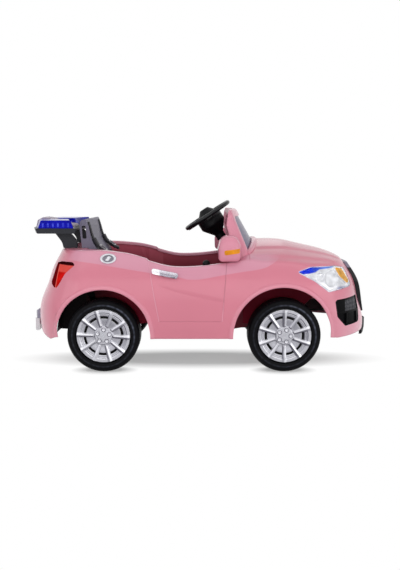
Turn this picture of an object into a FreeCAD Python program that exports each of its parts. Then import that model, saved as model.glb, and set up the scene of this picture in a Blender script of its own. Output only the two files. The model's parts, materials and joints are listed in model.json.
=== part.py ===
import FreeCAD, Part
import math
import os
from FreeCAD import Vector as V

os.makedirs("parts", exist_ok=True)

# Electric ride-on car. Millimetres, +X forward, +Y left, +Z up, floor at Z = 0.

# Wheels and axles
TYRE_D = 204.0
TYRE_W = 78.0
WHEEL_FACE_Y = 262.0
HUBCAP_D = 152.0
AXLE_D = 10.0
REAR_X = -270.0
FRONT_X = 236.0
TREAD_LUGS = 30
LUG_DEPTH = 4.0
LUG_GROOVE = 8.0
SPOKES = 10

# Body form: height, half width, nose and tail at each level
LEVELS = [(70, 262, 486, -478), (130, 274, 491, -486), (190, 279, 480, -478), (240, 275, 469, -456),
          (285, 258, 442, -441), (320, 236, 418, -422), (365, 204, 390, -404)]
NOSE_START_X = 200.0
TAIL_START_X = -300.0
CORNER_LONG = 0.75
CORNER_CROSS = 0.6
WALL = 3.5
SHUT_LINE_DEPTH = 1.5
SHUT_LINE_W = 3.0
SEAM = 0.4

# Bonnet stations: position, centre height, drop of the crown at its outer edge
BONNET = [(120, 352, 60), (180, 355, 64), (250, 353, 66), (310, 340, 62), (370, 326, 58),
          (420, 309, 50), (450, 296, 46), (480, 272, 44), (540, 215, 40)]
CROWN_Y = 300.0
COWL_X = 150.0

# Cockpit rim seen from the side
DECK_Z = 339.0
DECK_FRONT_X = -290.0
DOOR_STEP = (-147.0, 317.0)
DOOR_DIP = [(-143, 312), (-84, 297), (-42, 295), (28, 300), (90, 308)]
RIM_FRONT_Z = 312.0

# Cockpit opening and tub
OPEN_REAR_X = -330.0
OPEN_FRONT_X = 138.0
OPEN_HALF_Y = 226.0
OPEN_REAR_HALF_Y = 172.0
OPEN_TAPER_X = -150.0
OPEN_CORNER = 70.0
OPEN_BEND = 160.0
TUB_WALL = 3.0
TUB_UNDER_RIM = 6.0
LEDGE_Z = 249.0
SEAT_Z = 205.0
SEAT_FRONT_X = -65.0
WELL_REAR_X = -262.0
WELL_HALF_Y = 168.0
WELL_TAPER_X = 85.0
WELL_FRONT_X = 146.0
WELL_FRONT_HALF_Y = 116.0

# Wheel arches and sills
REAR_ARCH_R = 132.0
FRONT_ARCH_R = 138.0
FRONT_ARCH_SHIFT = -6.0
REAR_ARCH_DEPTH = 78.0
FRONT_ARCH_DEPTH = 44.0
SILL_Z = 96.0
SILL_FLANGE_Y = 232.0
SILL_X = (-118.0, 78.0)

# Chassis pan
PAN_T = 4.0
PAN_HIGH_Z = 150.0
PAN_HALF_Y = 112.0
PAN_MID_HALF_Y = 248.0
PAN_REAR_X = -395.0
PAN_FRONT_X = 380.0
PAN_SLOPE_REAR = (-160.0, -128.0)
PAN_SLOPE_FRONT = (150.0, 168.0)
RIB_Y = 96.0
RIB_T = 8.0
SCREW_X = [-95.0, -20.0, 55.0]
SCREW_Y = 240.0
SCREW_D = 4.0

# Steering
WHEEL_CENTRE = (23.0, 0.0, 431.0)
COLUMN_LEAN = 33.0
STEER_WHEEL_D = 160.0
STEER_RIM_D = 13.0
COLUMN_D = 12.0
COLUMN_END = 370.0
CRANK = 30.0
CRANK_PIN_D = 7.0
KINGPIN_Y = 165.0
KINGPIN_D = 8.0
STEER_ARM = 38.0
ARM_PIN_D = 6.0
LUG_LOW_Z = 72.0
LUG_HIGH_Z = 128.0
LUG_T = 4.0
BEAM_HALF_X = 14.0
TIE_Z = 90.0
TIE_D = 8.0
PIN_PLAY = 0.8
RUNNING = 0.05
FREE_GAP = 0.5
HORN_D = 60.0
HORN_TOP = 22.0
HUB_D = 80.0
HUB_TOP = -14.0

# Drive
MODULE = 1.5
OUTPUT_TEETH = 40
IDLER_SMALL_TEETH = 12
IDLER_LARGE_TEETH = 36
PINION_TEETH = 10
BACKLASH = 0.35
GEAR_OUT_Y = -176.0
GEAR_W = 10.0
CASE_OUT_Y = -179.5
CASE_IN_Y = -146.0
CASE_WALL = 2.5
MOTOR_D = 38.0
MOTOR_L = 58.0
HEX_AF = 24.0
HEX_DEEP = 8.0
IDLER_PIN_D = 6.0
SHAFT_D = 5.0
LARGE_Y = GEAR_OUT_Y + GEAR_W + 2.0
LARGE_W = 8.0

# Light bar
BAR_HALF_Y = 172.0
BAR_SWEEP = 30.0
BAR_MID_X = -442.0
BAR_BASE_W = 118.0
BAR_BASE_Z = 383.0
BAR_BASE_H = 15.0
LENS_H = 23.0
LENS_BOTTOM_W = 102.0
LENS_TOP_W = 84.0
LENS_WALL = 2.5
COVER_HALF_Y = 46.0
STRUT_Y = 120.0
STRUT_T = 16.0
LEDS_PER_SIDE = 7

# Windscreen
SCREEN_FOOT = (151.0, 311.5)
SCREEN_TOP = (76.0, 452.0)
SCREEN_HALF_FOOT = 206.0
SCREEN_HALF_TOP = 168.0
SCREEN_BOW = (38.0, 20.0)
SCREEN_DEPTH = (26.0, 14.0)
SCREEN_BORDER = 24.0
PANE_T = 3.0
GUSSET = [(66, 420), (72, 392), (84, 360), (104, 308), (150, 308), (97, 412)]
GUSSET_T = 14.0

# Outlines of the let-in pieces, seen from the side (X, Z, corner radius)
HEADLAMP = [(267, 281.5, 3), (309, 294.5, 40), (384, 293, 20), (419, 284.5, 8), (438.5, 233.5, 8), (360, 223.5, 7),
            (318, 255, 40)]
FOG_VENT = [(379.5, 200, 6), (460, 203, 6), (465, 165, 12), (462.5, 128, 6), (413.5, 123, 6), (387, 152, 8)]
TAIL_LAMP = [(-409, 301, 5), (-392, 306.5, 10), (-356, 307, 6), (-348, 299.5, 3), (-376, 276, 30), (-393, 247, 20),
             (-406, 230.5, 4), (-426, 244.5, 6), (-417, 271, 40)]
TURN_STRIP = [(383, 288, 3), (409, 283, 6), (431, 247, 6), (422.5, 240.5, 5), (396, 264, 20)]
GRILLE = [(-62, 286, 14), (62, 286, 14), (98, 238, 12), (70, 150, 14), (-70, 150, 14), (-98, 238, 12)]
DOOR_FRONT = [(74, 303), (66, 206), (60, 150)]
DOOR_REAR = [(-145, 316), (-113, 142)]
CAP_CENTRE = (-255.5, 317.5)
CAP_HALF = (23.0, 13.6)
HANDLE = [(-134, 293, 5), (-60, 279, 5), (-62, 264, 6), (-132, 278, 6)]
VENT_POCKETS = [[(387, 196, 4), (455, 198, 4), (458, 167, 4), (390, 166, 4)],
                [(392, 157, 3), (414, 158, 3), (414, 132, 3), (396, 148, 3)],
                [(423, 158, 3), (451, 158, 3), (451, 134, 3), (423, 129, 3)]]
POCKET_DEEP = 5.0
GRILLE_PROUD = 6.0
SURROUND_PROUD = 12.0
SURROUND_W = 14.0
GRILLE_SLOTS = 9
SLOT_W = 6.0

# Guard under the nose, hood and plate at the tail
GUARD_TIP_X = 505.0
GUARD_HALF_Y = 110.0
GUARD_Z = (79.0, 127.0)
TAIL_TIP_X = -505.0
HOOD_HALF_Y = 82.0
HOOD_Z = (122.0, 156.0)
PLATE_FOOT_Z = 84.0

# Seat back seen from the side, and belts
SEAT_FRONT = [(-290, 318), (-300, 333), (-313, 352), (-321, 376), (-326, 402), (-333, 424)]
SEAT_REAR = [(-347, 420), (-352, 404), (-345, DECK_Z + FREE_GAP), (OPEN_REAR_X + 4, DECK_Z + FREE_GAP)]
SEAT_HALF_Y = 132.0
SEAT_T = 4.0
BELT_T = 2.5
BELT_W = 26.0

# Dash, pedal and lever
DASH_REAR_X = 108.0
BUTTON_Y = -95.0
BUTTON_Z = 292.0
BUTTON_D = 18.0
PEDAL_X = 52.0
PEDAL_Y = -62.0
PEDAL_HALF_W = 30.0
PEDAL_PIN_D = 6.0
PEDAL_L = 74.0
PEDAL_REST = 32.0
LEVER_X = 18.0
LEVER_Y = -198.0
LEVER_TOP = 50.0
LEVER_PIN_D = 5.0

# Mirrors seen from the side
MIRROR = [(52, 302, 3), (47, 340, 30), (58, 379, 26), (104, 380, 24), (112, 345, 20), (110, 302, 3)]
MIRROR_OUT_Y = -268.0
MIRROR_IN_Y = -214.0
MIRROR_EDGE = 11.0
STRIP = [(66, 344, 5), (112.5, 349, 0), (112.5, 336, 0), (67, 332, 5)]

AXLE_Z = TYRE_D / 2
TUB_FLOOR_Z = SILL_Z + WALL + PAN_T
IDLER_X = REAR_X + MODULE * (OUTPUT_TEETH + IDLER_SMALL_TEETH) / 2
MOTOR_X = IDLER_X + MODULE * (IDLER_LARGE_TEETH + PINION_TEETH) / 2


def xz(y):
    return lambda a, b: V(a, y, b)


def xy(z):
    return lambda a, b: V(a, b, z)


def yz(x):
    return lambda a, b: V(x, a, b)


def rounded(corners, place):
    """Closed wire through corners (a, b, radius), each corner turned by an arc of its radius."""
    pts = [V(c[0], c[1], 0) for c in corners]
    rad = [c[2] if len(c) > 2 else 0.0 for c in corners]
    runs = []
    count = len(pts)
    for i in range(count):
        p = pts[i]
        back = (pts[i - 1] - p)
        ahead = (pts[(i + 1) % count] - p)
        back.normalize()
        ahead.normalize()
        if rad[i] <= 0:
            runs.append((p, None, p))
            continue
        half = back.getAngle(ahead) / 2
        cut = rad[i] / math.tan(half)
        middle = back + ahead
        middle.normalize()
        centre = p + middle * (rad[i] / math.sin(half))
        runs.append((p + back * cut, centre - middle * rad[i], p + ahead * cut))
    edges = []
    for i, (start, mid, end) in enumerate(runs):
        if mid is not None:
            edges.append(Part.Arc(place(start.x, start.y), place(mid.x, mid.y), place(end.x, end.y)).toShape())
        nxt = runs[(i + 1) % count][0]
        if end.distanceToPoint(nxt) > 1e-6:
            edges.append(Part.makeLine(place(end.x, end.y), place(nxt.x, nxt.y)))
    return Part.Wire(edges)


def prism_y(corners, y0, y1):
    return Part.Face(rounded(corners, xz(y0))).extrude(V(0, y1 - y0, 0))


def prism_x(corners, x0, x1):
    return Part.Face(rounded(corners, yz(x0))).extrude(V(x1 - x0, 0, 0))


def prism_z(corners, z0, z1):
    return Part.Face(rounded(corners, xy(z0))).extrude(V(0, 0, z1 - z0))


def box(x0, x1, y0, y1, z0, z1):
    return Part.makeBox(x1 - x0, y1 - y0, z1 - z0, V(x0, y0, z0))


def rod(radius, start, end):
    a = V(*start)
    b = V(*end)
    return Part.makeCylinder(radius, (b - a).Length, a, b - a)


def revolve(corners, base, axis, place):
    return Part.Face(rounded(corners, place)).revolve(base, axis, 360)


def mirrored(shape):
    return shape.mirror(V(0, 0, 0), V(0, 1, 0))


def both(shape):
    return [shape, mirrored(shape)]


def grow(corners, by):
    """The same outline moved outward by a distance, from straight edges moved along their normals."""
    count = len(corners)
    turn = sum(corners[i][0] * corners[(i + 1) % count][1] - corners[(i + 1) % count][0] * corners[i][1]
               for i in range(count))
    side = 1.0 if turn > 0 else -1.0
    moved = []
    for i, c in enumerate(corners):
        p, q, r = corners[i - 1], c, corners[(i + 1) % count]
        d1 = V(q[0] - p[0], q[1] - p[1], 0)
        d2 = V(r[0] - q[0], r[1] - q[1], 0)
        d1.normalize()
        d2.normalize()
        n1 = V(d1.y, -d1.x, 0) * side
        n2 = V(d2.y, -d2.x, 0) * side
        push = (n1 + n2) * (by / (1 + n1.dot(n2)))
        moved.append((c[0] + push.x, c[1] + push.y) + tuple(c[2:]))
    return moved


def curve(points):
    line = Part.BSplineCurve()
    line.interpolate([V(*p) for p in points])
    return line.toShape()


def bezier(points):
    line = Part.BezierCurve()
    line.setPoles([V(*p) for p in points])
    return line.toShape()


def save(name, *solids):
    shape = solids[0] if len(solids) == 1 else Part.makeCompound(list(solids))
    if len(solids) == 1 and len(shape.Solids) == 1:
        shape = shape.Solids[0]
    shape.exportStep("parts/" + name + ".step")


def plan_outline(z, half, nose, tail, inset):
    """Plan view of the body at one height: straight flanks, full-width curves at nose and tail."""
    w = half - inset
    n = nose - inset
    t = tail + inset
    nh = NOSE_START_X + (n - NOSE_START_X) * CORNER_LONG
    th = TAIL_START_X + (t - TAIL_START_X) * CORNER_LONG
    c = CORNER_CROSS * w
    return Part.Wire([
        Part.makeLine(V(TAIL_START_X, -w, z), V(NOSE_START_X, -w, z)),
        bezier([(NOSE_START_X, -w, z), (nh, -w, z), (n, -c, z), (n, 0, z)]),
        bezier([(n, 0, z), (n, c, z), (nh, w, z), (NOSE_START_X, w, z)]),
        Part.makeLine(V(NOSE_START_X, w, z), V(TAIL_START_X, w, z)),
        bezier([(TAIL_START_X, w, z), (th, w, z), (t, c, z), (t, 0, z)]),
        bezier([(t, 0, z), (t, -c, z), (th, -w, z), (TAIL_START_X, -w, z)])])


def bonnet_cutter(inset):
    """Everything above the crowned bonnet, from the cowl forward."""
    top = DECK_Z * 2
    sections = []
    for x, z, drop in BONNET:
        mid = z - inset
        low = mid - drop
        sections.append(Part.Wire([
            Part.Arc(V(x, -CROWN_Y, low), V(x, 0, mid), V(x, CROWN_Y, low)).toShape(),
            Part.makeLine(V(x, CROWN_Y, low), V(x, CROWN_Y, top)),
            Part.makeLine(V(x, CROWN_Y, top), V(x, -CROWN_Y, top)),
            Part.makeLine(V(x, -CROWN_Y, top), V(x, -CROWN_Y, low))]))
    solid = Part.makeLoft(sections, True, False)
    return solid.common(box(COWL_X + inset, 600, -400, 400, 0, 700))


def rim_cutter(drop, front):
    """Everything above the deck and the dipped cockpit rim, lowered by drop, up to front."""
    z = DECK_Z - drop
    step = (DOOR_STEP[0], 0, DOOR_STEP[1] - drop)
    dip = [(a, 0, b - drop) for a, b in DOOR_DIP]
    rear = LEVELS[0][3] * 1.3
    edges = [
        Part.makeLine(V(rear, 0, z), V(DECK_FRONT_X, 0, z)),
        bezier([(DECK_FRONT_X, 0, z), (DECK_FRONT_X + 50, 0, z), (step[0] - 45, 0, step[2] + 12), step]),
        Part.makeLine(V(*step), V(*dip[0])),
        curve(dip),
        Part.makeLine(V(*dip[-1]), V(front, 0, RIM_FRONT_Z - drop)),
        Part.makeLine(V(front, 0, RIM_FRONT_Z - drop), V(front, 0, 700)),
        Part.makeLine(V(front, 0, 700), V(rear, 0, 700)),
        Part.makeLine(V(rear, 0, 700), V(rear, 0, z))]
    face = Part.Face(Part.Wire(edges))
    face.translate(V(0, -400, 0))
    return face.extrude(V(0, 800, 0))


FORMS = {}


def form(inset):
    """The whole body volume with every face moved inward by inset."""
    if inset not in FORMS:
        levels = list(LEVELS)
        if inset > 0:
            low = levels[0]
            levels[0] = (low[0] - 20,) + low[1:]
        solid = Part.makeLoft([plan_outline(z, w, n, t, inset) for z, w, n, t in levels], True, False)
        solid = solid.cut(bonnet_cutter(inset))
        FORMS[inset] = solid.cut(rim_cutter(inset, COWL_X + inset))
    return FORMS[inset]


def layer(outer, inner):
    return form(outer).cut(form(inner))


def side_cut(corners):
    """Cutters for a let-in piece on both flanks."""
    return both(prism_y(corners, -330, -60))


def opening_corners(outward):
    """Plan of the cockpit opening, narrower behind the doors, moved outward all round."""
    right = [(OPEN_REAR_X, -OPEN_REAR_HALF_Y, OPEN_CORNER), (OPEN_TAPER_X, -OPEN_HALF_Y, OPEN_BEND),
             (OPEN_FRONT_X, -OPEN_HALF_Y, OPEN_CORNER)]
    left = [(x, -y, r) for x, y, r in reversed(right)]
    return [(x, y, r + outward) for x, y, r in grow(right + left, outward)]


def arch_centres():
    return [(REAR_X, REAR_ARCH_R, REAR_ARCH_DEPTH), (FRONT_X + FRONT_ARCH_SHIFT, FRONT_ARCH_R, FRONT_ARCH_DEPTH)]


def underside_cutter():
    """Below the sills and the rising lower edges of the two bumpers."""
    return prism_y([(-560, 97), (-445, 95), (-420, 93), (-380, SILL_Z), (360, SILL_Z), (392, 91), (440, 94),
                    (560, 104), (560, 0), (-560, 0)], -400, 400)


def shut_lines():
    """Narrow strips that cut the door outlines into the flank, seen from the side."""
    half = SHUT_LINE_W / 2
    front = [(x - half, z) for x, z in DOOR_FRONT] + [(x + half, z) for x, z in reversed(DOOR_FRONT)]
    rear = [(x - half, z) for x, z in DOOR_REAR] + [(x + half, z) for x, z in reversed(DOOR_REAR)]
    low = DOOR_FRONT[-1][1]
    foot = [(DOOR_REAR[-1][0], low - half), (DOOR_FRONT[-1][0], low - half),
            (DOOR_FRONT[-1][0], low + half), (DOOR_REAR[-1][0], low + half)]
    tools = []
    for strip in (front, rear, foot):
        tools += side_cut(strip)
    return tools


def body_shell():
    """Thin shell of four butted mouldings (tail, two sides, nose) with arches, openings and door lines."""
    skin = layer(0, WALL)
    for x, r, depth in arch_centres():
        skin = skin.cut(both(rod(r, (x, -400, AXLE_Z), (x, -150, AXLE_Z))))
        inner_y = -(LEVELS[2][1] - depth)
        band = rod(r + WALL, (x, -400, AXLE_Z), (x, inner_y, AXLE_Z))
        band = band.cut(rod(r, (x, -401, AXLE_Z), (x, inner_y + 1, AXLE_Z)))
        skin = skin.fuse(both(band.common(form(0))))
    flange = box(SILL_X[0], SILL_X[1], -330, -SILL_FLANGE_Y, SILL_Z, SILL_Z + WALL).common(form(0))
    skin = skin.fuse(both(flange))
    opening = prism_z(opening_corners(0), LEDGE_Z, 700)
    tools = [opening, underside_cutter()]
    for corners in (HEADLAMP, FOG_VENT, TAIL_LAMP):
        tools += side_cut(grow(corners, SEAM))
    tools.append(prism_x(grow(GRILLE, SEAM), 330, 600))
    for x in SCREW_X:
        for y in (-SCREW_Y, SCREW_Y):
            tools.append(rod(SCREW_D / 2 + RUNNING, (x, y, 0), (x, y, TUB_FLOOR_Z + 1)))
    skin = skin.cut(tools)
    grooves = [tool.common(layer(0, SHUT_LINE_DEPTH)) for tool in shut_lines()]
    skin = skin.cut(grooves).removeSplitter()
    mouldings = []
    for x0, x1 in ((-600, OPEN_REAR_X), (OPEN_REAR_X, OPEN_FRONT_X), (OPEN_FRONT_X, 600)):
        mouldings += skin.common(box(x0, x1, -400, 400, 0, 700)).Solids
    save("body_shell", *mouldings)


def pan_profile():
    """Side view of the stepped pan: high at the axles, low between them."""
    low = SILL_Z + WALL
    high = PAN_HIGH_Z
    rx0, rx1 = PAN_SLOPE_REAR
    fx0, fx1 = PAN_SLOPE_FRONT
    return [(PAN_REAR_X, high), (rx0, high), (rx1, low), (fx0, low), (fx1, high), (PAN_FRONT_X, high),
            (PAN_FRONT_X, high + PAN_T), (fx1 - 2, high + PAN_T), (fx0 - 2, low + PAN_T), (rx1 + 2, low + PAN_T),
            (rx0 + 2, high + PAN_T), (PAN_REAR_X, high + PAN_T)]


def column_axis():
    turn = FreeCAD.Rotation(V(0, 1, 0), -COLUMN_LEAN)
    return FreeCAD.Placement(V(*WHEEL_CENTRE), turn)


def steered(shape):
    """Put a shape built round the upright local axis of the steering column into the car."""
    copy = shape.copy()
    copy.Placement = column_axis().multiply(copy.Placement)
    return copy


def column_hole(radius):
    return steered(rod(radius, (0, 0, 0), (0, 0, -COLUMN_END - 60)))


def chassis_pan():
    pan = prism_y(pan_profile(), -PAN_HALF_Y, PAN_HALF_Y)
    low = SILL_Z + WALL
    wide = [(SILL_X[0] + 2, -PAN_MID_HALF_Y, 16), (SILL_X[1] - 2, -PAN_MID_HALF_Y, 16),
            (SILL_X[1] - 2, PAN_MID_HALF_Y, 16), (SILL_X[0] + 2, PAN_MID_HALF_Y, 16)]
    pan = pan.fuse(prism_z(wide, low, low + PAN_T))
    rear_half = WHEEL_FACE_Y - TYRE_W - 24
    pan = pan.fuse(prism_z([(PAN_REAR_X, -rear_half, 20), (PAN_SLOPE_REAR[0], -rear_half, 20),
                            (PAN_SLOPE_REAR[0], rear_half, 20), (PAN_REAR_X, rear_half, 20)],
                           PAN_HIGH_Z, PAN_HIGH_Z + PAN_T))
    for side in (-1, 1):
        y0 = side * RIB_Y - RIB_T / 2
        rib = prism_y([(REAR_X - 34, PAN_HIGH_Z), (REAR_X - 14, AXLE_Z - 14, 12), (REAR_X + 14, AXLE_Z - 14, 12),
                       (REAR_X + 34, PAN_HIGH_Z)], y0, y0 + RIB_T)
        pan = pan.fuse(rib)
    for y in (-60, 0, 60):
        pan = pan.fuse(box(PAN_SLOPE_REAR[1] + 4, PAN_SLOPE_FRONT[0] - 4, y - 2, y + 2, low - 10, low))
    tools = [rod(AXLE_D / 2 + RUNNING, (REAR_X, -400, AXLE_Z), (REAR_X, 400, AXLE_Z)),
             column_hole(COLUMN_D)]
    for x in SCREW_X:
        for y in (-SCREW_Y, SCREW_Y):
            tools.append(rod(SCREW_D / 2 + RUNNING, (x, y, 0), (x, y, low + PAN_T + 1)))
    save("chassis_pan", pan.cut(tools).removeSplitter())


def body_screws():
    head = SCREW_D
    screws = []
    for x in SCREW_X:
        for y in (-SCREW_Y, SCREW_Y):
            shank = rod(SCREW_D / 2, (x, y, SILL_Z - 0.01), (x, y, SILL_Z + WALL + PAN_T))
            cap = Part.makeSphere(head * 1.25, V(x, y, SILL_Z + head * 0.6))
            cap = cap.common(box(x - 20, x + 20, y - 20, y + 20, SILL_Z - 20, SILL_Z))
            screws.append(shank.fuse(cap).removeSplitter())
    save("body_screws", *screws)


def well_corners(inset):
    front = WELL_FRONT_X - inset
    rear = WELL_REAR_X + inset
    wide = WELL_HALF_Y - inset
    narrow = WELL_FRONT_HALF_Y - inset
    return [(rear, -wide, 30), (WELL_TAPER_X - inset, -wide, 20), (front, -narrow, 20),
            (front, narrow, 20), (WELL_TAPER_X - inset, wide, 20), (rear, wide, 30)]


def cockpit_tub():
    """Seat, footwell and side ledges in one thin moulding under the cockpit rim."""
    top = 360
    shape = prism_z(opening_corners(TUB_UNDER_RIM), LEDGE_Z - TUB_WALL, top)
    shape = shape.fuse(prism_z(well_corners(0), TUB_FLOOR_Z, top))
    seat_under = box(WELL_REAR_X - 1, SEAT_FRONT_X - TUB_WALL, -300, 300, 0, SEAT_Z - TUB_WALL)
    shape = shape.cut(seat_under)
    foot = box(SEAT_FRONT_X, WELL_FRONT_X, -300, 300, TUB_FLOOR_Z + TUB_WALL, top)
    seat = box(WELL_REAR_X, SEAT_FRONT_X + 1, -300, 300, SEAT_Z, top)
    inner = prism_z(well_corners(TUB_WALL), TUB_FLOOR_Z, top).common(foot.fuse(seat))
    shape = shape.cut([prism_z(opening_corners(TUB_UNDER_RIM - TUB_WALL), LEDGE_Z, top), inner,
                       rim_cutter(WALL + FREE_GAP, 600), column_hole(COLUMN_D)])
    save("cockpit_tub", shape.removeSplitter())


def seat_corners():
    return [(OPEN_REAR_X + 4, LEDGE_Z), (SEAT_FRONT[0][0], LEDGE_Z)] + SEAT_FRONT + SEAT_REAR


def seat_back():
    """Reclined hollow seat back with closed cheeks, a window in each cheek and an open back."""
    radii = [0, 4, 16, 20, 40, 30, 30, 6, 6, 6, 3, 3]
    outer = [(a, b, r) for (a, b), r in zip(seat_corners(), radii)]
    shape = prism_y(outer, -SEAT_HALF_Y, SEAT_HALF_Y)
    inner = prism_y(grow([(c[0], c[1]) for c in outer], -SEAT_T), -SEAT_HALF_Y + SEAT_T, SEAT_HALF_Y - SEAT_T)
    rear = [(-360, LEDGE_Z + 6), (-306, LEDGE_Z + 6), (-306, 330), (-330, 372), (-333, 396), (-360, 396)]
    open_back = prism_y(rear, -SEAT_HALF_Y + SEAT_T, SEAT_HALF_Y - SEAT_T)
    window = prism_y([(-343, 366, 4), (-331, 366, 4), (-334, 404, 4), (-345, 404, 4)], -400, 400)
    save("seat_back", shape.cut([inner, open_back, window]).removeSplitter())


def seat_belts():
    """Two shoulder straps lying on the seat back and their buckles."""
    lift = FREE_GAP
    path = SEAT_FRONT[:5]
    strap = grow([(a, b) for a, b in path] + [(-330, 300)], lift + BELT_T)[:5]
    under = grow([(a, b) for a, b in path] + [(-330, 300)], lift)[:5]
    corners = [(a, b, 12) for a, b in strap[1:4]] + [(a, b, 8) for a, b in reversed(under[1:4])]
    corners = [(c[0], c[1], 0 if i in (0, 2, 3, 5) else c[2]) for i, c in enumerate(corners)]
    straps = both(prism_y(corners, -SEAT_HALF_Y + 4, -SEAT_HALF_Y + 4 + BELT_W))
    mid = V((strap[1][0] + strap[2][0]) / 2, 0, (strap[1][1] + strap[2][1]) / 2)
    along = V(strap[2][0] - strap[1][0], 0, strap[2][1] - strap[1][1])
    along.normalize()
    out = V(along.z, 0, -along.x)
    buckle = []
    for a, b in ((-13, 0.01), (13, 0.01), (13, 7), (-13, 7)):
        p = mid + along * a + out * b
        buckle.append((p.x, p.z, 2.5 if b > 1 else 0))
    clips = both(prism_y(buckle, -SEAT_HALF_Y + 2, -SEAT_HALF_Y + 6 + BELT_W))
    save("seat_belts", *(straps + clips))


def dashboard():
    """Dash panel across the cockpit under the screen, with a binnacle and a column opening."""
    front = WELL_FRONT_X - TUB_WALL - FREE_GAP
    half = WELL_HALF_Y
    floor = LEDGE_Z
    shape = prism_y([(front - 8, floor), (front - 26, floor, 8), (DASH_REAR_X, floor + 26, 8),
                     (DASH_REAR_X, floor + 62, 8), (front - 20, floor + 70, 6), (front - 13, floor + 58)],
                    -half, half)
    hood = prism_y([(front - 14, floor + 40), (DASH_REAR_X + 6, floor + 40), (DASH_REAR_X - 4, floor + 70, 6),
                    (front - 14, floor + 86, 6)], -70, 70)
    shape = shape.fuse(hood)
    inside = prism_y([(front - 11, floor + 3), (front - 24, floor + 3), (DASH_REAR_X + 3, floor + 28),
                      (DASH_REAR_X + 3, floor + 58), (front - 11, floor + 62)], -half + 3, half - 3)
    bore = rod(BUTTON_D / 2 + 0.3, (DASH_REAR_X - 30, BUTTON_Y, BUTTON_Z), (DASH_REAR_X + 12, BUTTON_Y, BUTTON_Z))
    open_front = box(front - 12, front, -half + 3, half - 3, floor + 3, floor + 60)
    save("dashboard", shape.cut([inside, bore, open_front, column_hole(COLUMN_D * 1.6)]).removeSplitter())


def power_button():
    """Round push button whose collar stays behind the dash face."""
    stem = rod(BUTTON_D / 2, (DASH_REAR_X - 5, BUTTON_Y, BUTTON_Z), (DASH_REAR_X + 4, BUTTON_Y, BUTTON_Z))
    collar = rod(BUTTON_D / 2 + 3, (DASH_REAR_X + 3.4, BUTTON_Y, BUTTON_Z), (DASH_REAR_X + 5.4, BUTTON_Y, BUTTON_Z))
    save("power_button", stem.fuse(collar).removeSplitter())


def screen_band(shift, depth):
    """Leaning panel bowed forward in plan; shift and depth are given at the foot and at the top."""
    ends = ((SCREEN_FOOT[0], SCREEN_FOOT[1] - 6, SCREEN_HALF_FOOT + 20),
            (SCREEN_TOP[0], SCREEN_TOP[1] + 20, SCREEN_HALF_TOP + 20))
    wires = []
    for (x, z, half), bow, back, thick in zip(ends, SCREEN_BOW, shift, depth):
        f = x - back
        r = f - thick
        wires.append(Part.Wire([
            Part.Arc(V(f, -half, z), V(f + bow, 0, z), V(f, half, z)).toShape(),
            Part.makeLine(V(f, half, z), V(r, half, z)),
            Part.Arc(V(r, half, z), V(r + bow, 0, z), V(r, -half, z)).toShape(),
            Part.makeLine(V(r, -half, z), V(f, -half, z))]))
    return Part.makeLoft(wires, True, True)


def screen_outline(inset, sink=0):
    top = SCREEN_TOP[1] - inset
    foot = SCREEN_FOOT[1] + inset - sink
    return [(-SCREEN_HALF_FOOT + inset, foot, 10), (SCREEN_HALF_FOOT - inset, foot, 10),
            (SCREEN_HALF_TOP - inset, top, 44 - inset), (-SCREEN_HALF_TOP + inset, top, 44 - inset)]


def windscreen():
    """Bowed screen frame with side gussets standing on the cowl, and the pane let into it."""
    frame = screen_band((0, 0), SCREEN_DEPTH).common(prism_x(screen_outline(0), -100, 400))
    window = prism_x(screen_outline(SCREEN_BORDER), -100, 400)
    lip = prism_x(screen_outline(SCREEN_BORDER - 6), -100, 400)
    back = [d / 2 - PANE_T for d in SCREEN_DEPTH]
    groove = screen_band(back, [PANE_T + 2 * SEAM] * 2).common(lip)
    pane = screen_band([b + SEAM for b in back], [PANE_T] * 2)
    pane = pane.common(prism_x(screen_outline(SCREEN_BORDER - 5), -100, 400))
    cheeks = prism_x(screen_outline(0), -100, 400)
    cheeks = cheeks.cut(prism_x(screen_outline(GUSSET_T, 2 * GUSSET_T), -100, 400))
    gussets = prism_y(GUSSET, -300, 300).common(cheeks)
    keep_out = [form(-FREE_GAP)]
    frame = frame.cut([window, groove]).fuse(gussets).cut([groove] + keep_out)
    save("windscreen_frame", max(frame.removeSplitter().Solids, key=lambda s: s.Volume))
    save("windscreen_pane", pane.cut(keep_out))


def mirrors():
    """Rounded mirror pods on the front of the rim, mirror plates facing back, turn strips outside."""
    pod = prism_y(MIRROR, MIRROR_OUT_Y, MIRROR_IN_Y)
    outer = [e for e in pod.Edges if abs(e.CenterOfMass.y - MIRROR_OUT_Y) < 0.01]
    pod = pod.makeFillet(MIRROR_EDGE, outer)
    strip_zone = prism_y(STRIP, MIRROR_OUT_Y - 1, MIRROR_OUT_Y + 14)
    strip = pod.common(strip_zone)
    recess = prism_y(grow(STRIP, SEAM), MIRROR_OUT_Y - 1, MIRROR_OUT_Y + 14.4)
    face = box(0, 51.5, MIRROR_OUT_Y + 12, MIRROR_IN_Y - 6, 320, 354)
    glass = box(49.2, 51.2, MIRROR_OUT_Y + 12.4, MIRROR_IN_Y - 6.4, 320.4, 353.6)
    pod = pod.cut([recess, face, form(-FREE_GAP / 2)])
    save("mirror_housings", *both(pod.removeSplitter()))
    save("mirror_glasses", *both(glass))
    return both(strip)


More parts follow.
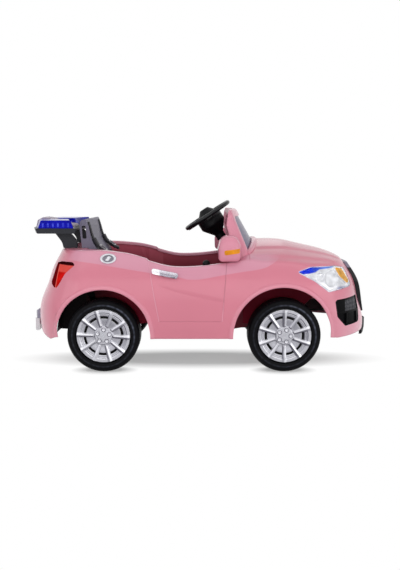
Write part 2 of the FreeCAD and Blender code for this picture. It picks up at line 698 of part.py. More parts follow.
def headlamps(mirror_strips):
    """Flush lens, hollow bowl behind it and the amber turn strip let into the lens edge."""
    zone = prism_y(HEADLAMP, -330, -60)
    amber = prism_y(TURN_STRIP, -330, -60)
    skin = zone.common(layer(0, WALL))
    save("headlamp_lenses", *both(skin.cut(prism_y(grow(TURN_STRIP, SEAM), -330, -60)).Solids[0]))
    strips = both(skin.common(amber).Solids[0])
    save("turn_lenses", *(strips + mirror_strips))
    deep = 22.0
    bowl = prism_y(grow(HEADLAMP, -SEAM), -330, -60).common(layer(WALL + SEAM, deep + 2))
    hollow = prism_y(grow(HEADLAMP, -3), -330, -60).common(layer(WALL - 1, deep))
    save("headlamp_bowls", *both(bowl.cut(hollow).Solids[0]))


def vents():
    """Black vent panels with one upper and two lower pockets."""
    plate = prism_y(FOG_VENT, -330, -60).common(layer(0, WALL + POCKET_DEEP))
    pockets = [prism_y(corners, -330, -60).cut(form(POCKET_DEEP)) for corners in VENT_POCKETS]
    save("fog_vents", *both(plate.cut(pockets).Solids[0]))


def grille():
    """Proud grille with shallow cross slots, and a prouder surround that overlaps its edge."""
    low = min(c[1] for c in GRILLE)
    pitch = (max(c[1] for c in GRILLE) - low) / (GRILLE_SLOTS + 1)
    inner = prism_x(grow(GRILLE, -SURROUND_W / 2), 330, 600)
    slots = []
    for i in range(GRILLE_SLOTS):
        z = low + pitch * (i + 1)
        slots.append(inner.common(box(330, 600, -200, 200, z - SLOT_W / 2, z + SLOT_W / 2)).cut(form(0)))
    ring = prism_x(grow(GRILLE, SURROUND_W / 2), 330, 600).cut(prism_x(grow(GRILLE, -SURROUND_W / 2), 330, 600))
    rim = ring.common(layer(-SURROUND_PROUD, -SEAM)).Solids[0]
    seat = prism_x(grow(GRILLE, SURROUND_W / 2 + SEAM), 330, 600)
    seat = seat.cut(prism_x(grow(GRILLE, -SURROUND_W / 2 - SEAM), 330, 600)).cut(form(0))
    plate = prism_x(GRILLE, 330, 600).common(layer(-GRILLE_PROUD, WALL))
    save("grille_insert", plate.cut(slots + [seat]).Solids[0])
    save("grille_surround", rim)


def tail_lamps():
    zone = prism_y(TAIL_LAMP, -330, -60)
    save("tail_lamps", *both(zone.common(layer(0, WALL)).Solids[0]))


def lower_guard():
    """Slotted guard across the foot of the nose, swept back toward its ends."""
    z0, z1 = GUARD_Z
    tip = GUARD_TIP_X
    half = GUARD_HALF_Y
    side = prism_y([(430, z0 + 3), (tip - 12, z0, 8), (tip, z0 + 20, 10), (tip, z1 - 6, 4), (tip - 10, z1, 3),
                    (430, z1)], -half, half)
    plan = prism_z([(430, -half), (tip - 22, -half, 8), (tip, -half * 0.5, 60), (tip, half * 0.5, 60),
                    (tip - 22, half, 8), (430, half)], 0, 200)
    front = max(side.common(plan).cut(form(-SEAM)).Solids, key=lambda s: s.BoundBox.XMax)
    slots = [box(tip - 5, tip + 5, y - 8, y + 8, z0 + 13, z0 + 33) for y in range(-48, 49, 32)]
    save("lower_guard", front.cut(slots).Solids[0])


def tail_plate():
    """Hood over a blank lit plate at the middle of the tail."""
    z0, z1 = HOOD_Z
    tip = TAIL_TIP_X
    half = HOOD_HALF_Y
    side = prism_y([(-440, z1), (tip + 26, z1, 10), (tip, z1 - 16, 8), (tip, z0), (-440, z0)], -half, half)
    plan = prism_z([(-440, -half), (tip + 12, -half, 8), (tip, -half * 0.5, 50), (tip, half * 0.5, 50),
                    (tip + 12, half, 8), (-440, half)], 0, 200)
    rear = min(side.common(plan).cut(form(-SEAM)).Solids, key=lambda s: s.BoundBox.XMin)
    save("plate_hood", rear)
    plate = [(tip + 5, PLATE_FOOT_Z, 4), (tip + 17, PLATE_FOOT_Z, 4), (tip + 17, z0), (tip + 5, z0)]
    save("rear_plate", prism_y(plate, 6 - half, half - 6))


def handles_and_cap():
    skin = layer(-9.0, -SEAM)
    bar = prism_y(HANDLE, -330, -150).common(skin)
    save("door_handles", *both(bar.Solids[0]))
    oval = Part.Ellipse(V(CAP_CENTRE[0], -330, CAP_CENTRE[1]), CAP_HALF[0], CAP_HALF[1])
    oval.Axis = V(0, 1, 0)
    oval.XAxis = V(1, 0, 0)
    disc = Part.Face(Part.Wire(oval.toShape())).extrude(V(0, 240, 0)).common(layer(-4.0, -SEAM))
    save("fuel_cap", min(disc.Solids, key=lambda s: s.CenterOfMass.y))


def bar_section(y, z0, z1, low_w, top_w):
    """Side view of the light bar at one width station, swept forward toward the ends."""
    mid = BAR_MID_X + BAR_SWEEP * (y / BAR_HALF_Y) ** 2
    return Part.Wire([Part.makeLine(V(mid - low_w / 2, y, z0), V(mid + low_w / 2, y, z0)),
                      Part.makeLine(V(mid + low_w / 2, y, z0), V(mid + top_w / 2, y, z1)),
                      Part.makeLine(V(mid + top_w / 2, y, z1), V(mid - top_w / 2, y, z1)),
                      Part.makeLine(V(mid - top_w / 2, y, z1), V(mid - low_w / 2, y, z0))])


def bar_piece(y0, y1, z0, z1, low_w, top_w):
    stations = [y0 + (y1 - y0) * i / 4 for i in range(5)]
    return Part.makeLoft([bar_section(y, z0, z1, low_w, top_w) for y in stations], True, False)


def cover_section(y, z):
    """Side view of the middle cover: high at the rear, falling forward."""
    mid = BAR_MID_X + BAR_SWEEP * (y / BAR_HALF_Y) ** 2
    side = [(-57, 0), (57, 0), (52, 7), (10, 13), (-16, 25), (-36, 28), (-52, 20)]
    return rounded([(mid + a, z + b) for a, b in side], xz(y))


def light_bar():
    """Swept bar with a hollow lens at each end, a middle cover and a row of light points inside."""
    z0 = BAR_BASE_Z
    z1 = z0 + BAR_BASE_H
    end = BAR_HALF_Y - 2
    base = bar_piece(-BAR_HALF_Y, BAR_HALF_Y, z0, z1, BAR_BASE_W - 10, BAR_BASE_W)
    save("light_bar_base", base)
    stations = [COVER_HALF_Y * k for k in (-1, -0.5, 0, 0.5, 1)]
    save("light_bar_cover", Part.makeLoft([cover_section(y, z1) for y in stations], True, False))
    start = COVER_HALF_Y + FREE_GAP
    lens = bar_piece(start, end, z1, z1 + LENS_H, LENS_BOTTOM_W, LENS_TOP_W)
    hollow = bar_piece(start + LENS_WALL, end - LENS_WALL, z1 - 1, z1 + LENS_H - LENS_WALL,
                       LENS_BOTTOM_W - 2 * LENS_WALL, LENS_TOP_W - 2 * LENS_WALL)
    save("light_bar_lenses", *both(lens.cut(hollow)))
    board = bar_piece(start + 6, end - 6, z1, z1 + 2, 30, 30)
    pitch = (end - start - 24) / (LEDS_PER_SIDE - 1)
    for i in range(LEDS_PER_SIDE):
        y = start + 12 + pitch * i
        x = BAR_MID_X + BAR_SWEEP * (y / BAR_HALF_Y) ** 2
        board = board.fuse(Part.makeCone(6, 4.5, 7, V(x, y, z1 + 1.5)))
    save("light_bar_leds", *both(board))
    strut = prism_y([(-424, z0), (-404, 356, 30), (-400, DECK_Z), (-360, DECK_Z), (-362, 362, 20), (-380, z0)],
                    -STRUT_Y - STRUT_T / 2, -STRUT_Y + STRUT_T / 2)
    save("light_bar_struts", *both(strut))


def steering_wheel():
    """Round rim on three flat spokes, carried by a ring under the hub."""
    ring = (STEER_WHEEL_D - STEER_RIM_D) / 2
    rim = Part.makeTorus(ring, STEER_RIM_D / 2)
    hub = Part.makeCylinder(HUB_D / 2, 10, V(0, 0, HUB_TOP))
    shape = rim.fuse(hub)
    for angle in (-90, 90, 180):
        spoke = prism_z([(20, -15), (ring - 1, -8), (ring - 1, 8), (20, 15)], -9, -3)
        spoke.rotate(V(0, 0, 0), V(0, 0, 1), angle)
        shape = shape.fuse(spoke)
    shape = shape.cut(Part.makeCylinder(HORN_D / 2 + 0.3, 40, V(0, 0, -30)))
    save("steering_wheel", steered(shape.removeSplitter()))


def steering_hub():
    """Funnel under the rim that narrows to a socket on the column."""
    bore = COLUMN_D / 2
    profile = [(bore, -84), (15, -84, 2), (15, -66, 8), (HUB_D / 2, -34, 10), (HUB_D / 2, HUB_TOP),
               (HORN_D / 2 + 4, HUB_TOP), (HORN_D / 2 + 4, -24), (bore, -24)]
    save("steering_hub", steered(revolve(profile, V(0, 0, 0), V(0, 0, 1), xz(0))))
    r = HORN_D / 2
    side = [(0, -18), (r + 2, -18), (r + 2, -14.6), (r, -14.6), (r, 4, 3), (r * 0.45, HORN_TOP, 5), (0, HORN_TOP)]
    cap = revolve(side, V(0, 0, 0), V(0, 0, 1), xz(0))
    save("horn_button", steered(cap))


def steering_column():
    """Steel rod bent at its foot into a crank and pin that moves the tie rod."""
    r = COLUMN_D / 2
    shape = rod(r, (0, 0, -26), (0, 0, -COLUMN_END)).fuse(Part.makeSphere(r, V(0, 0, -COLUMN_END)))
    arm = rod(r * 0.8, (0, 0, -COLUMN_END), (-CRANK, 0, -COLUMN_END))
    elbow = Part.makeSphere(r * 0.8, V(-CRANK, 0, -COLUMN_END))
    pin = rod(CRANK_PIN_D / 2, (-CRANK, 0, -COLUMN_END), (-CRANK, 0, -COLUMN_END - 24))
    save("steering_column", steered(shape.fuse([arm, elbow, pin]).removeSplitter()))


def column_point(along):
    lean = math.radians(COLUMN_LEAN)
    return WHEEL_CENTRE[0] + math.sin(lean) * along, WHEEL_CENTRE[2] - math.cos(lean) * along


def column_bush():
    z = PAN_HIGH_Z + PAN_T
    x, _ = column_point((WHEEL_CENTRE[2] - z - 9) / math.cos(math.radians(COLUMN_LEAN)))
    block = prism_z([(x - 26, -24, 8), (x + 26, -24, 8), (x + 26, 24, 8), (x - 26, 24, 8)], z, z + 18)
    save("column_bush", block.cut(column_hole(COLUMN_D / 2 + RUNNING)))


def tie_rod():
    """Cross rod with slotted end plates and a tilted slotted plate for the crank pin."""
    x = FRONT_X - STEER_ARM
    bar = rod(TIE_D / 2, (x, -KINGPIN_Y + 14, TIE_Z), (x, KINGPIN_Y - 14, TIE_Z))
    half_slot = ARM_PIN_D / 2 + PIN_PLAY
    reach = STEER_ARM * 0.1
    for side in (-1, 1):
        y = side * KINGPIN_Y
        plate = prism_z([(x - 10, y - 18 * side, 0), (x + 18, y - 18 * side, 0), (x + 18, y + 10 * side, 9),
                         (x - 10, y + 10 * side, 9)], TIE_Z - 2, TIE_Z + 2)
        slot = prism_z([(x - half_slot, y - half_slot, 3), (x + half_slot + reach, y - half_slot, 3),
                        (x + half_slot + reach, y + half_slot, 3), (x - half_slot, y + half_slot, 3)],
                       TIE_Z - 10, TIE_Z + 10)
        bar = bar.fuse(plate).cut(slot)
    z = -COLUMN_END - 14
    eye = CRANK_PIN_D / 2 + PIN_PLAY
    tilted = prism_z([(-CRANK - 16, -20, 6), (-CRANK + 16, -20, 6), (-CRANK + 16, 20, 6), (-CRANK - 16, 20, 6)],
                     z - 2, z + 2)
    gap = prism_z([(-CRANK - eye, -eye, 3), (-CRANK + eye + CRANK * 0.2, -eye, 3),
                   (-CRANK + eye + CRANK * 0.2, eye, 3), (-CRANK - eye, eye, 3)], z - 30, z + 30)
    bar = bar.fuse(steered(tilted)).cut(steered(gap))
    save("tie_rod", bar.removeSplitter())


def knuckle(side):
    """Upright block on the kingpin with a stub axle, a steering arm and its pin, and the wheel nut."""
    y = KINGPIN_Y
    z0 = LUG_LOW_Z + LUG_T + FREE_GAP
    z1 = LUG_HIGH_Z - FREE_GAP
    shape = rod(11, (FRONT_X, y, z0), (FRONT_X, y, z1))
    end = WHEEL_FACE_Y - 9
    seat = WHEEL_FACE_Y - TYRE_W + 2 + HEX_DEEP - 0.3
    shape = shape.fuse(rod(9, (FRONT_X, y, AXLE_Z), (FRONT_X, seat, AXLE_Z)))
    shape = shape.fuse(rod(AXLE_D / 2, (FRONT_X, y, AXLE_Z), (FRONT_X, end, AXLE_Z)))
    low = TIE_Z - 10
    arm = prism_z([(FRONT_X - STEER_ARM - 7, y - 7, 6), (FRONT_X, y - 9), (FRONT_X, y + 9),
                   (FRONT_X - STEER_ARM - 7, y + 7, 6)], low, low + 6)
    pin = rod(ARM_PIN_D / 2, (FRONT_X - STEER_ARM, y, low), (FRONT_X - STEER_ARM, y, TIE_Z + 8))
    shape = shape.fuse([arm, pin]).cut(rod(KINGPIN_D / 2 + RUNNING, (FRONT_X, y, 0), (FRONT_X, y, 200)))
    fasten = wheel_nut(FRONT_X)
    parts = [shape.removeSplitter(), fasten]
    return parts if side > 0 else [mirrored(p) for p in parts]


def hex_corners(across, centre_x):
    r = across / math.sqrt(3)
    return [(centre_x + r * math.cos(math.radians(60 * i)), AXLE_Z + r * math.sin(math.radians(60 * i)))
            for i in range(6)]


def wheel_nut(x):
    start = WHEEL_FACE_Y - 16 + 0.3
    nut = prism_y(hex_corners(16, x), start, start + 6)
    return nut.cut(rod(AXLE_D / 2, (x, 0, AXLE_Z), (x, 400, AXLE_Z)))


def front_axle():
    """Folded cross beam with two lugs at each end, and the kingpins through them."""
    x0 = FRONT_X - BEAM_HALF_X
    x1 = FRONT_X + BEAM_HALF_X
    wall_y = KINGPIN_Y - 15
    beam = box(x0, x1, -wall_y, wall_y, PAN_HIGH_Z - LUG_T, PAN_HIGH_Z)
    for side in (-1, 1):
        outer = side * wall_y
        beam = beam.fuse(box(x0, x1, min(outer, outer - side * LUG_T), max(outer, outer - side * LUG_T),
                             LUG_LOW_Z, PAN_HIGH_Z))
        for z in (LUG_LOW_Z, LUG_HIGH_Z):
            tip = side * (KINGPIN_Y + 13)
            lug = prism_z([(x0, outer - side * 2), (x1, outer - side * 2), (x1, tip, 10), (x0, tip, 10)],
                          z, z + LUG_T)
            beam = beam.fuse(lug)
    pins = []
    for y in (-KINGPIN_Y, KINGPIN_Y):
        beam = beam.cut(rod(KINGPIN_D / 2 + RUNNING, (FRONT_X, y, 0), (FRONT_X, y, 300)))
        pin = rod(KINGPIN_D / 2, (FRONT_X, y, LUG_LOW_Z - 3), (FRONT_X, y, LUG_HIGH_Z + LUG_T))
        head = rod(KINGPIN_D / 2 + 3, (FRONT_X, y, LUG_HIGH_Z + LUG_T), (FRONT_X, y, LUG_HIGH_Z + LUG_T + 4))
        pins.append(pin.fuse(head).removeSplitter())
    save("front_axle_beam", beam.removeSplitter())
    save("kingpins", *pins)


def rear_axle():
    """Steel rod through the ribs of the pan, its nuts and its spacer tubes."""
    end = WHEEL_FACE_Y - 9
    save("rear_axle", rod(AXLE_D / 2, (REAR_X, -end, AXLE_Z), (REAR_X, end, AXLE_Z)))
    hub_end = WHEEL_FACE_Y - TYRE_W + 2 + HEX_DEEP - 0.3
    rib = RIB_Y + RIB_T / 2
    bore = rod(AXLE_D / 2 + RUNNING, (REAR_X, -400, AXLE_Z), (REAR_X, 400, AXLE_Z))
    left = rod(9, (REAR_X, rib, AXLE_Z), (REAR_X, hub_end, AXLE_Z)).cut(bore)
    right = rod(9, (REAR_X, -rib, AXLE_Z), (REAR_X, GEAR_OUT_Y + GEAR_W + 0.3, AXLE_Z)).cut(bore)
    save("rear_axle_fittings", *(both(wheel_nut(REAR_X)) + [left, right]))


def tyre(x):
    """Moulded wheel: lugged tread ring, outer disc, open back, hub with a hex socket."""
    r = TYRE_D / 2
    f = WHEEL_FACE_Y
    bore = AXLE_D / 2 + RUNNING
    seat = HUBCAP_D / 2 + 1
    inner = r - 8
    profile = [(bore, f - 16), (bore, f - TYRE_W + 2), (20, f - TYRE_W + 2), (23, f - 20, 6), (inner, f - 20, 8),
               (inner, f - TYRE_W), (r - 5, f - TYRE_W, 3), (r, f - TYRE_W + 14, 12), (r, f - 14, 12),
               (r - 8, f, 6), (seat, f, 3), (seat, f - 15), (20, f - 15), (20, f - 16)]
    solid = revolve(profile, V(0, 0, 0), V(0, 1, 0), lambda a, b: V(a, b, 0))
    socket = prism_y([(c[0], c[1] - AXLE_Z) for c in hex_corners(HEX_AF, 0)], f - TYRE_W, f - TYRE_W + 2 + HEX_DEEP)
    tools = [socket]
    for i in range(TREAD_LUGS):
        for y0, y1, shift in ((f - 24, f + 2, 0.0), (f - TYRE_W - 2, f - TYRE_W + 24, 0.5)):
            notch = box(-LUG_GROOVE / 2, LUG_GROOVE / 2, y0, y1, r - LUG_DEPTH, r + 4)
            notch.rotate(V(0, 0, 0), V(0, 1, 0), 360 / TREAD_LUGS * (i + shift))
            tools.append(notch)
    solid = solid.cut(tools)
    solid.translate(V(x, 0, AXLE_Z))
    return solid


def hubcap(x):
    """Dished silver cap: ten spokes with slots between them, five nuts and a middle boss."""
    f = WHEEL_FACE_Y
    r = HUBCAP_D / 2
    profile = [(0, f - 2), (0, f + 1), (12, f + 1, 2), (15, f - 4, 2), (26, f - 5, 10), (r - 12, f - 1, 6),
               (r - 4, f + 1, 4), (r, f - 3, 2), (r, f - 15), (r - 3, f - 15), (r - 3, f - 5, 2), (26, f - 8, 8),
               (16, f - 7, 3), (11, f - 2)]
    solid = revolve(profile, V(0, 0, 0), V(0, 1, 0), lambda a, b: V(a, b, 0))
    slots = []
    for i in range(SPOKES):
        slot = prism_y([(34, -2.5, 2), (r - 15, -10, 4), (r - 15, 10, 4), (34, 2.5, 2)], f - 40, f + 20)
        slot.rotate(V(0, 0, 0), V(0, 1, 0), 360 / SPOKES * (i + 0.5))
        slots.append(slot)
    solid = solid.cut(slots)
    for i in range(5):
        nut = rod(4, (0, f - 7, 20), (0, f - 1, 20))
        nut.rotate(V(0, 0, 0), V(0, 1, 0), 72 * i)
        solid = solid.fuse(nut)
    solid = solid.removeSplitter()
    solid.translate(V(x, 0, AXLE_Z))
    return solid


def involute(radius, base):
    """Roll angle offset of an involute at a radius, measured from its foot on the base circle."""
    if radius <= base:
        return 0.0
    t = math.sqrt((radius / base) ** 2 - 1)
    return t - math.atan(t)


def gear(teeth, width, phase):
    """Spur gear round the Y axis with involute flanks, a short crest and play at the pitch circle."""
    pitch = MODULE * teeth / 2
    base = pitch * math.cos(math.radians(20))
    tip = pitch + 0.75 * MODULE
    root = pitch - 1.15 * MODULE
    half = (math.pi * MODULE / 2 - BACKLASH) / 2 / pitch + involute(pitch, base)
    flank = max(base, root)
    radii = [root] if root < base else []
    radii += [flank + (tip - flank) * k / 3 for k in range(4)]
    points = []
    for i in range(teeth):
        middle = 2 * math.pi * i / teeth + math.radians(phase)
        for r in radii:
            a = middle - half + involute(r, base)
            points.append((r * math.cos(a), r * math.sin(a)))
        for r in reversed(radii):
            a = middle + half - involute(r, base)
            points.append((r * math.cos(a), r * math.sin(a)))
    return prism_y(points, 0, width)


def moved(shape, x, y, z):
    copy = shape.copy()
    copy.translate(V(x, y, z))
    return copy


def gears():
    """Output gear with a hex plug for the wheel, two-step idler and motor pinion with its shaft."""
    out = moved(gear(OUTPUT_TEETH, GEAR_W, 0), REAR_X, GEAR_OUT_Y, AXLE_Z)
    hub_face = -(WHEEL_FACE_Y - TYRE_W + 2)
    out = out.fuse(rod(17, (REAR_X, GEAR_OUT_Y, AXLE_Z), (REAR_X, hub_face + 0.3, AXLE_Z)))
    plug = prism_y(hex_corners(HEX_AF - 0.6, REAR_X), hub_face - HEX_DEEP + 0.4, hub_face + 1)
    out = out.fuse(plug).cut(rod(AXLE_D / 2 + RUNNING, (REAR_X, -400, AXLE_Z), (REAR_X, 0, AXLE_Z)))
    save("output_gear", out.removeSplitter())
    half_small = 180.0 / IDLER_SMALL_TEETH
    small = moved(gear(IDLER_SMALL_TEETH, GEAR_W + 3, 180 + half_small), IDLER_X, GEAR_OUT_Y - 0.5, AXLE_Z)
    large = moved(gear(IDLER_LARGE_TEETH, LARGE_W, 0), IDLER_X, LARGE_Y, AXLE_Z)
    idler = small.fuse(large).cut(rod(IDLER_PIN_D / 2 + RUNNING, (IDLER_X, -400, AXLE_Z), (IDLER_X, 0, AXLE_Z)))
    save("idler_gear", idler.removeSplitter())
    half_pinion = 180.0 / PINION_TEETH
    pinion = moved(gear(PINION_TEETH, LARGE_W + 1, 180 + half_pinion), MOTOR_X, LARGE_Y - 0.5, AXLE_Z)
    pinion = pinion.fuse(rod(SHAFT_D / 2, (MOTOR_X, LARGE_Y, AXLE_Z), (MOTOR_X, CASE_IN_Y + 14, AXLE_Z)))
    save("motor_pinion", pinion.removeSplitter())


def case_outline(extra):
    """Round-ended outline over the three gear centres."""
    big = MODULE * OUTPUT_TEETH / 2 + 4 + extra
    mid = MODULE * IDLER_LARGE_TEETH / 2 + 4 + extra
    end = MOTOR_D / 2 + extra
    top = AXLE_Z + big
    low = AXLE_Z - big
    return [(REAR_X - big, low, big - 1), (IDLER_X, AXLE_Z - mid - 3, 20), (MOTOR_X + end, AXLE_Z - end, end - 1),
            (MOTOR_X + end, AXLE_Z + end, end - 1), (IDLER_X, AXLE_Z + mid + 3, 20), (REAR_X - big, top, big - 1)]


def gearbox():
    """Open case with its floor on the motor side, a cover plate, the idler pin and the motor."""
    cover_t = 2.2
    case = prism_y(case_outline(CASE_WALL), CASE_OUT_Y, CASE_IN_Y)
    tab_top = PAN_HIGH_Z
    tab = box(REAR_X - 14, REAR_X + 14, CASE_IN_Y - 10, CASE_IN_Y, AXLE_Z + 20, tab_top)
    case = case.fuse(tab)
    cavity = prism_y(case_outline(0), CASE_OUT_Y - 1, CASE_IN_Y - CASE_WALL)
    axle = rod(11, (REAR_X, -400, AXLE_Z), (REAR_X, 0, AXLE_Z))
    shaft = rod(SHAFT_D / 2 + 0.5, (MOTOR_X, -400, AXLE_Z), (MOTOR_X, 0, AXLE_Z))
    case = case.cut([cavity, axle, shaft])
    pin = rod(IDLER_PIN_D / 2, (IDLER_X, CASE_OUT_Y, AXLE_Z), (IDLER_X, CASE_IN_Y - 1, AXLE_Z))
    save("gearbox_case", case.fuse(pin).removeSplitter())
    cover = prism_y(case_outline(CASE_WALL), CASE_OUT_Y - cover_t, CASE_OUT_Y)
    cover = cover.cut(rod(17.6, (REAR_X, -400, AXLE_Z), (REAR_X, 0, AXLE_Z)))
    save("gearbox_cover", cover)
    can = rod(MOTOR_D / 2 - 1, (MOTOR_X, CASE_IN_Y, AXLE_Z), (MOTOR_X, CASE_IN_Y + MOTOR_L, AXLE_Z))
    nose = rod(8, (MOTOR_X, CASE_IN_Y + MOTOR_L - 1, AXLE_Z), (MOTOR_X, CASE_IN_Y + MOTOR_L + 5, AXLE_Z))
    bore = rod(SHAFT_D / 2 + RUNNING, (MOTOR_X, CASE_IN_Y - 1, AXLE_Z), (MOTOR_X, CASE_IN_Y + 16, AXLE_Z))
    slots = [box(MOTOR_X - 3, MOTOR_X + 3, CASE_IN_Y + 40, CASE_IN_Y + 52, AXLE_Z + 15, AXLE_Z + 30),
             box(MOTOR_X - 3, MOTOR_X + 3, CASE_IN_Y + 40, CASE_IN_Y + 52, AXLE_Z - 30, AXLE_Z - 15)]
    save("motor", can.fuse(nose).cut([bore] + slots).removeSplitter())


def battery():
    """Sealed battery standing on the pan under the seat, with two terminals."""
    x0 = SEAT_FRONT_X - 56
    z0 = SILL_Z + WALL + PAN_T
    block = prism_z([(x0, -72, 3), (x0 + 48, -72, 3), (x0 + 48, 72, 3), (x0, 72, 3)], z0, z0 + 86)
    for y in (-52, 52):
        block = block.fuse(box(x0 + 16, x0 + 32, y - 5, y + 5, z0 + 85, z0 + 92))
    save("battery", block.removeSplitter())


def pedal():
    """Ribbed foot pedal on a pin between two ears of its base."""
    z0 = TUB_FLOOR_Z + TUB_WALL
    pivot = (PEDAL_X, z0 + 14)
    base = prism_z([(PEDAL_X - 14, PEDAL_Y - 38, 5), (PEDAL_X + 78, PEDAL_Y - 38, 5), (PEDAL_X + 78, PEDAL_Y + 38, 5),
                    (PEDAL_X - 14, PEDAL_Y + 38, 5)], z0, z0 + 4)
    for side in (-1, 1):
        y = PEDAL_Y + side * (PEDAL_HALF_W + 4)
        base = base.fuse(prism_y([(PEDAL_X - 10, z0 + 3), (PEDAL_X + 10, z0 + 3), (PEDAL_X + 6, z0 + 22, 6),
                                  (PEDAL_X - 6, z0 + 22, 6)], y - 3, y + 3))
    pin = rod(PEDAL_PIN_D / 2, (pivot[0], PEDAL_Y - PEDAL_HALF_W - 6, pivot[1]),
              (pivot[0], PEDAL_Y + PEDAL_HALF_W + 6, pivot[1]))
    save("pedal_base", base.fuse(pin).removeSplitter())
    y0 = PEDAL_Y - PEDAL_HALF_W
    y1 = PEDAL_Y + PEDAL_HALF_W
    plate = prism_y([(0, -4), (PEDAL_L, -2, 3), (PEDAL_L, 5, 3), (0, 6)], y0, y1)
    barrel = rod(7, (0, y0, 0), (0, y1, 0))
    ribs = [box(14 + 14 * i, 19 + 14 * i, y0 + 5, y1 - 5, 3, 8) for i in range(4)]
    shape = plate.fuse([barrel] + ribs).cut(rod(PEDAL_PIN_D / 2 + RUNNING, (0, y0 - 1, 0), (0, y1 + 1, 0)))
    shape = shape.removeSplitter()
    shape.rotate(V(0, 0, 0), V(0, 1, 0), -PEDAL_REST)
    save("accelerator_pedal", moved(shape, pivot[0], 0, pivot[1]))


def lever():
    """Direction lever with a round knob, swinging on a pin in a slotted base on the side ledge."""
    z0 = LEDGE_Z
    base = prism_z([(LEVER_X - 30, LEVER_Y - 16, 8), (LEVER_X + 30, LEVER_Y - 16, 8), (LEVER_X + 30, LEVER_Y + 16, 8),
                    (LEVER_X - 30, LEVER_Y + 16, 8)], z0, z0 + 16)
    slot = box(LEVER_X - 18, LEVER_X + 18, LEVER_Y - 7, LEVER_Y + 7, z0 + 1.5, z0 + 20)
    pin = rod(LEVER_PIN_D / 2, (LEVER_X, LEVER_Y - 8, z0 + 8), (LEVER_X, LEVER_Y + 8, z0 + 8))
    save("lever_base", base.cut(slot).fuse(pin).removeSplitter())
    barrel = rod(5.5, (LEVER_X, LEVER_Y - 6.4, z0 + 8), (LEVER_X, LEVER_Y + 6.4, z0 + 8))
    stalk = Part.makeCone(5, 4, LEVER_TOP - 12, V(LEVER_X, LEVER_Y, z0 + 10))
    knob = Part.makeSphere(11, V(LEVER_X, LEVER_Y, z0 + LEVER_TOP))
    bore = rod(LEVER_PIN_D / 2 + RUNNING, (LEVER_X, LEVER_Y - 20, z0 + 8), (LEVER_X, LEVER_Y + 20, z0 + 8))
    save("gear_lever", barrel.fuse([stalk, knob]).cut(bore).removeSplitter())


def wheels():
    for name, x, side in (("front_left", FRONT_X, 1), ("front_right", FRONT_X, -1),
                          ("rear_left", REAR_X, 1), ("rear_right", REAR_X, -1)):
        rubber = tyre(x)
        cap = hubcap(x)
        save("tyre_" + name, rubber if side > 0 else mirrored(rubber))
        save("hubcap_" + name, cap if side > 0 else mirrored(cap))


body_shell()
chassis_pan()
body_screws()
cockpit_tub()
seat_back()
seat_belts()
dashboard()
power_button()
windscreen()
headlamps(mirrors())
vents()
grille()
tail_lamps()
lower_guard()
tail_plate()
handles_and_cap()
light_bar()
steering_wheel()
steering_hub()
steering_column()
column_bush()
tie_rod()
save("knuckle_left", *knuckle(1))
save("knuckle_right", *knuckle(-1))
front_axle()
rear_axle()
wheels()
gears()
gearbox()
battery()
pedal()
lever()
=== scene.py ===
import json
import math
from functools import partialmethod

import bmesh
import bpy
import numpy as np
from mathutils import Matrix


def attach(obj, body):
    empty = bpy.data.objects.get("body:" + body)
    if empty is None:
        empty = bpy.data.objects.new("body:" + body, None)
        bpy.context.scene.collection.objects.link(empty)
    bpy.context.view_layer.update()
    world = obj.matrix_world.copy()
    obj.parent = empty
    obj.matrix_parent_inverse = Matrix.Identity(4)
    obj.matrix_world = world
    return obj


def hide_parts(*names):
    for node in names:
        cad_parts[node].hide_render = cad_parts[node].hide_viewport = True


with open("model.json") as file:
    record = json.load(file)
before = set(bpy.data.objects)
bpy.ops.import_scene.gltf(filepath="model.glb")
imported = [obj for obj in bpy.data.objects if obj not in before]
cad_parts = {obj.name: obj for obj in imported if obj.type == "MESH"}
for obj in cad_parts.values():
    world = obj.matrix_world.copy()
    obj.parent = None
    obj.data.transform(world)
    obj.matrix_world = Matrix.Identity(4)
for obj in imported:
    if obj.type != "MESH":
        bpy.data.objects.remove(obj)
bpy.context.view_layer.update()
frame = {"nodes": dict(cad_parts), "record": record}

bl_info = {
    "name": "Ride-on car look",
    "version": (1, 0, 0),
    "blender": (4, 5, 0),
    "location": "3D View > Sidebar > Ride-on",
    "description": "Dresses the packed ride-on car with moulded surfaces, lamps and materials",
    "category": "Object",
}

# Shapes are in millimetres in the car's frame, as in the solid model; materials read metres
MM = 0.001
NODE_WELD, EDGE_WIDTH, EDGE_ANGLE = 0.02 * MM, 1.2 * MM, math.radians(38)
COVER_WALL, PANE_WALL = 2 * MM, 3 * MM

# Body form: half width, nose and tail by height, then the bonnet's centre line and side drop
LEVEL_Z = (70, 130, 190, 240, 285, 320, 365)
LEVEL_HALF = (262, 274, 279, 275, 258, 236, 204)
LEVEL_NOSE = (494, 499, 480, 469, 442, 418, 390)
LEVEL_TAIL = (-478, -486, -478, -456, -441, -422, -404)
NOSE_START = 200.0
TAIL_START = -300.0
PLAN_Z = 150.0
BONNET_X = (120, 180, 250, 310, 370, 420, 450, 480, 540)
BONNET_Z = (352, 355, 353, 340, 326, 309, 296, 272, 215)
BONNET_DROP = (60, 64, 66, 62, 58, 50, 46, 44, 40)
CROWN_Y = 300.0
RIM_FLAT_X, RIM_FLAT_Z = -295.0, 339.0
RIM_BEHIND = (-300, -290, -232, -190, -165, -147), (339, 339, 334.5, 328.5, 322, 317)
RIM_AHEAD = (-143, -112, -84, -42, 28, 90, 140), (312, 303, 297, 295, 300, 308, 312)
TRIM_X = (-560, -464, -443, -427, -416, -402, 360, 392, 440, 560)
TRIM_Z = (97, 96, 89, 85, 91, 96, 96, 91, 94, 104)
LIP = 4.0
GRILLE_FROM_X = 380.0
SKIRT_DROP = np.array([46.0, 20.0, 0.0])
FAN_X, COWL_X = -236.0, 138.0
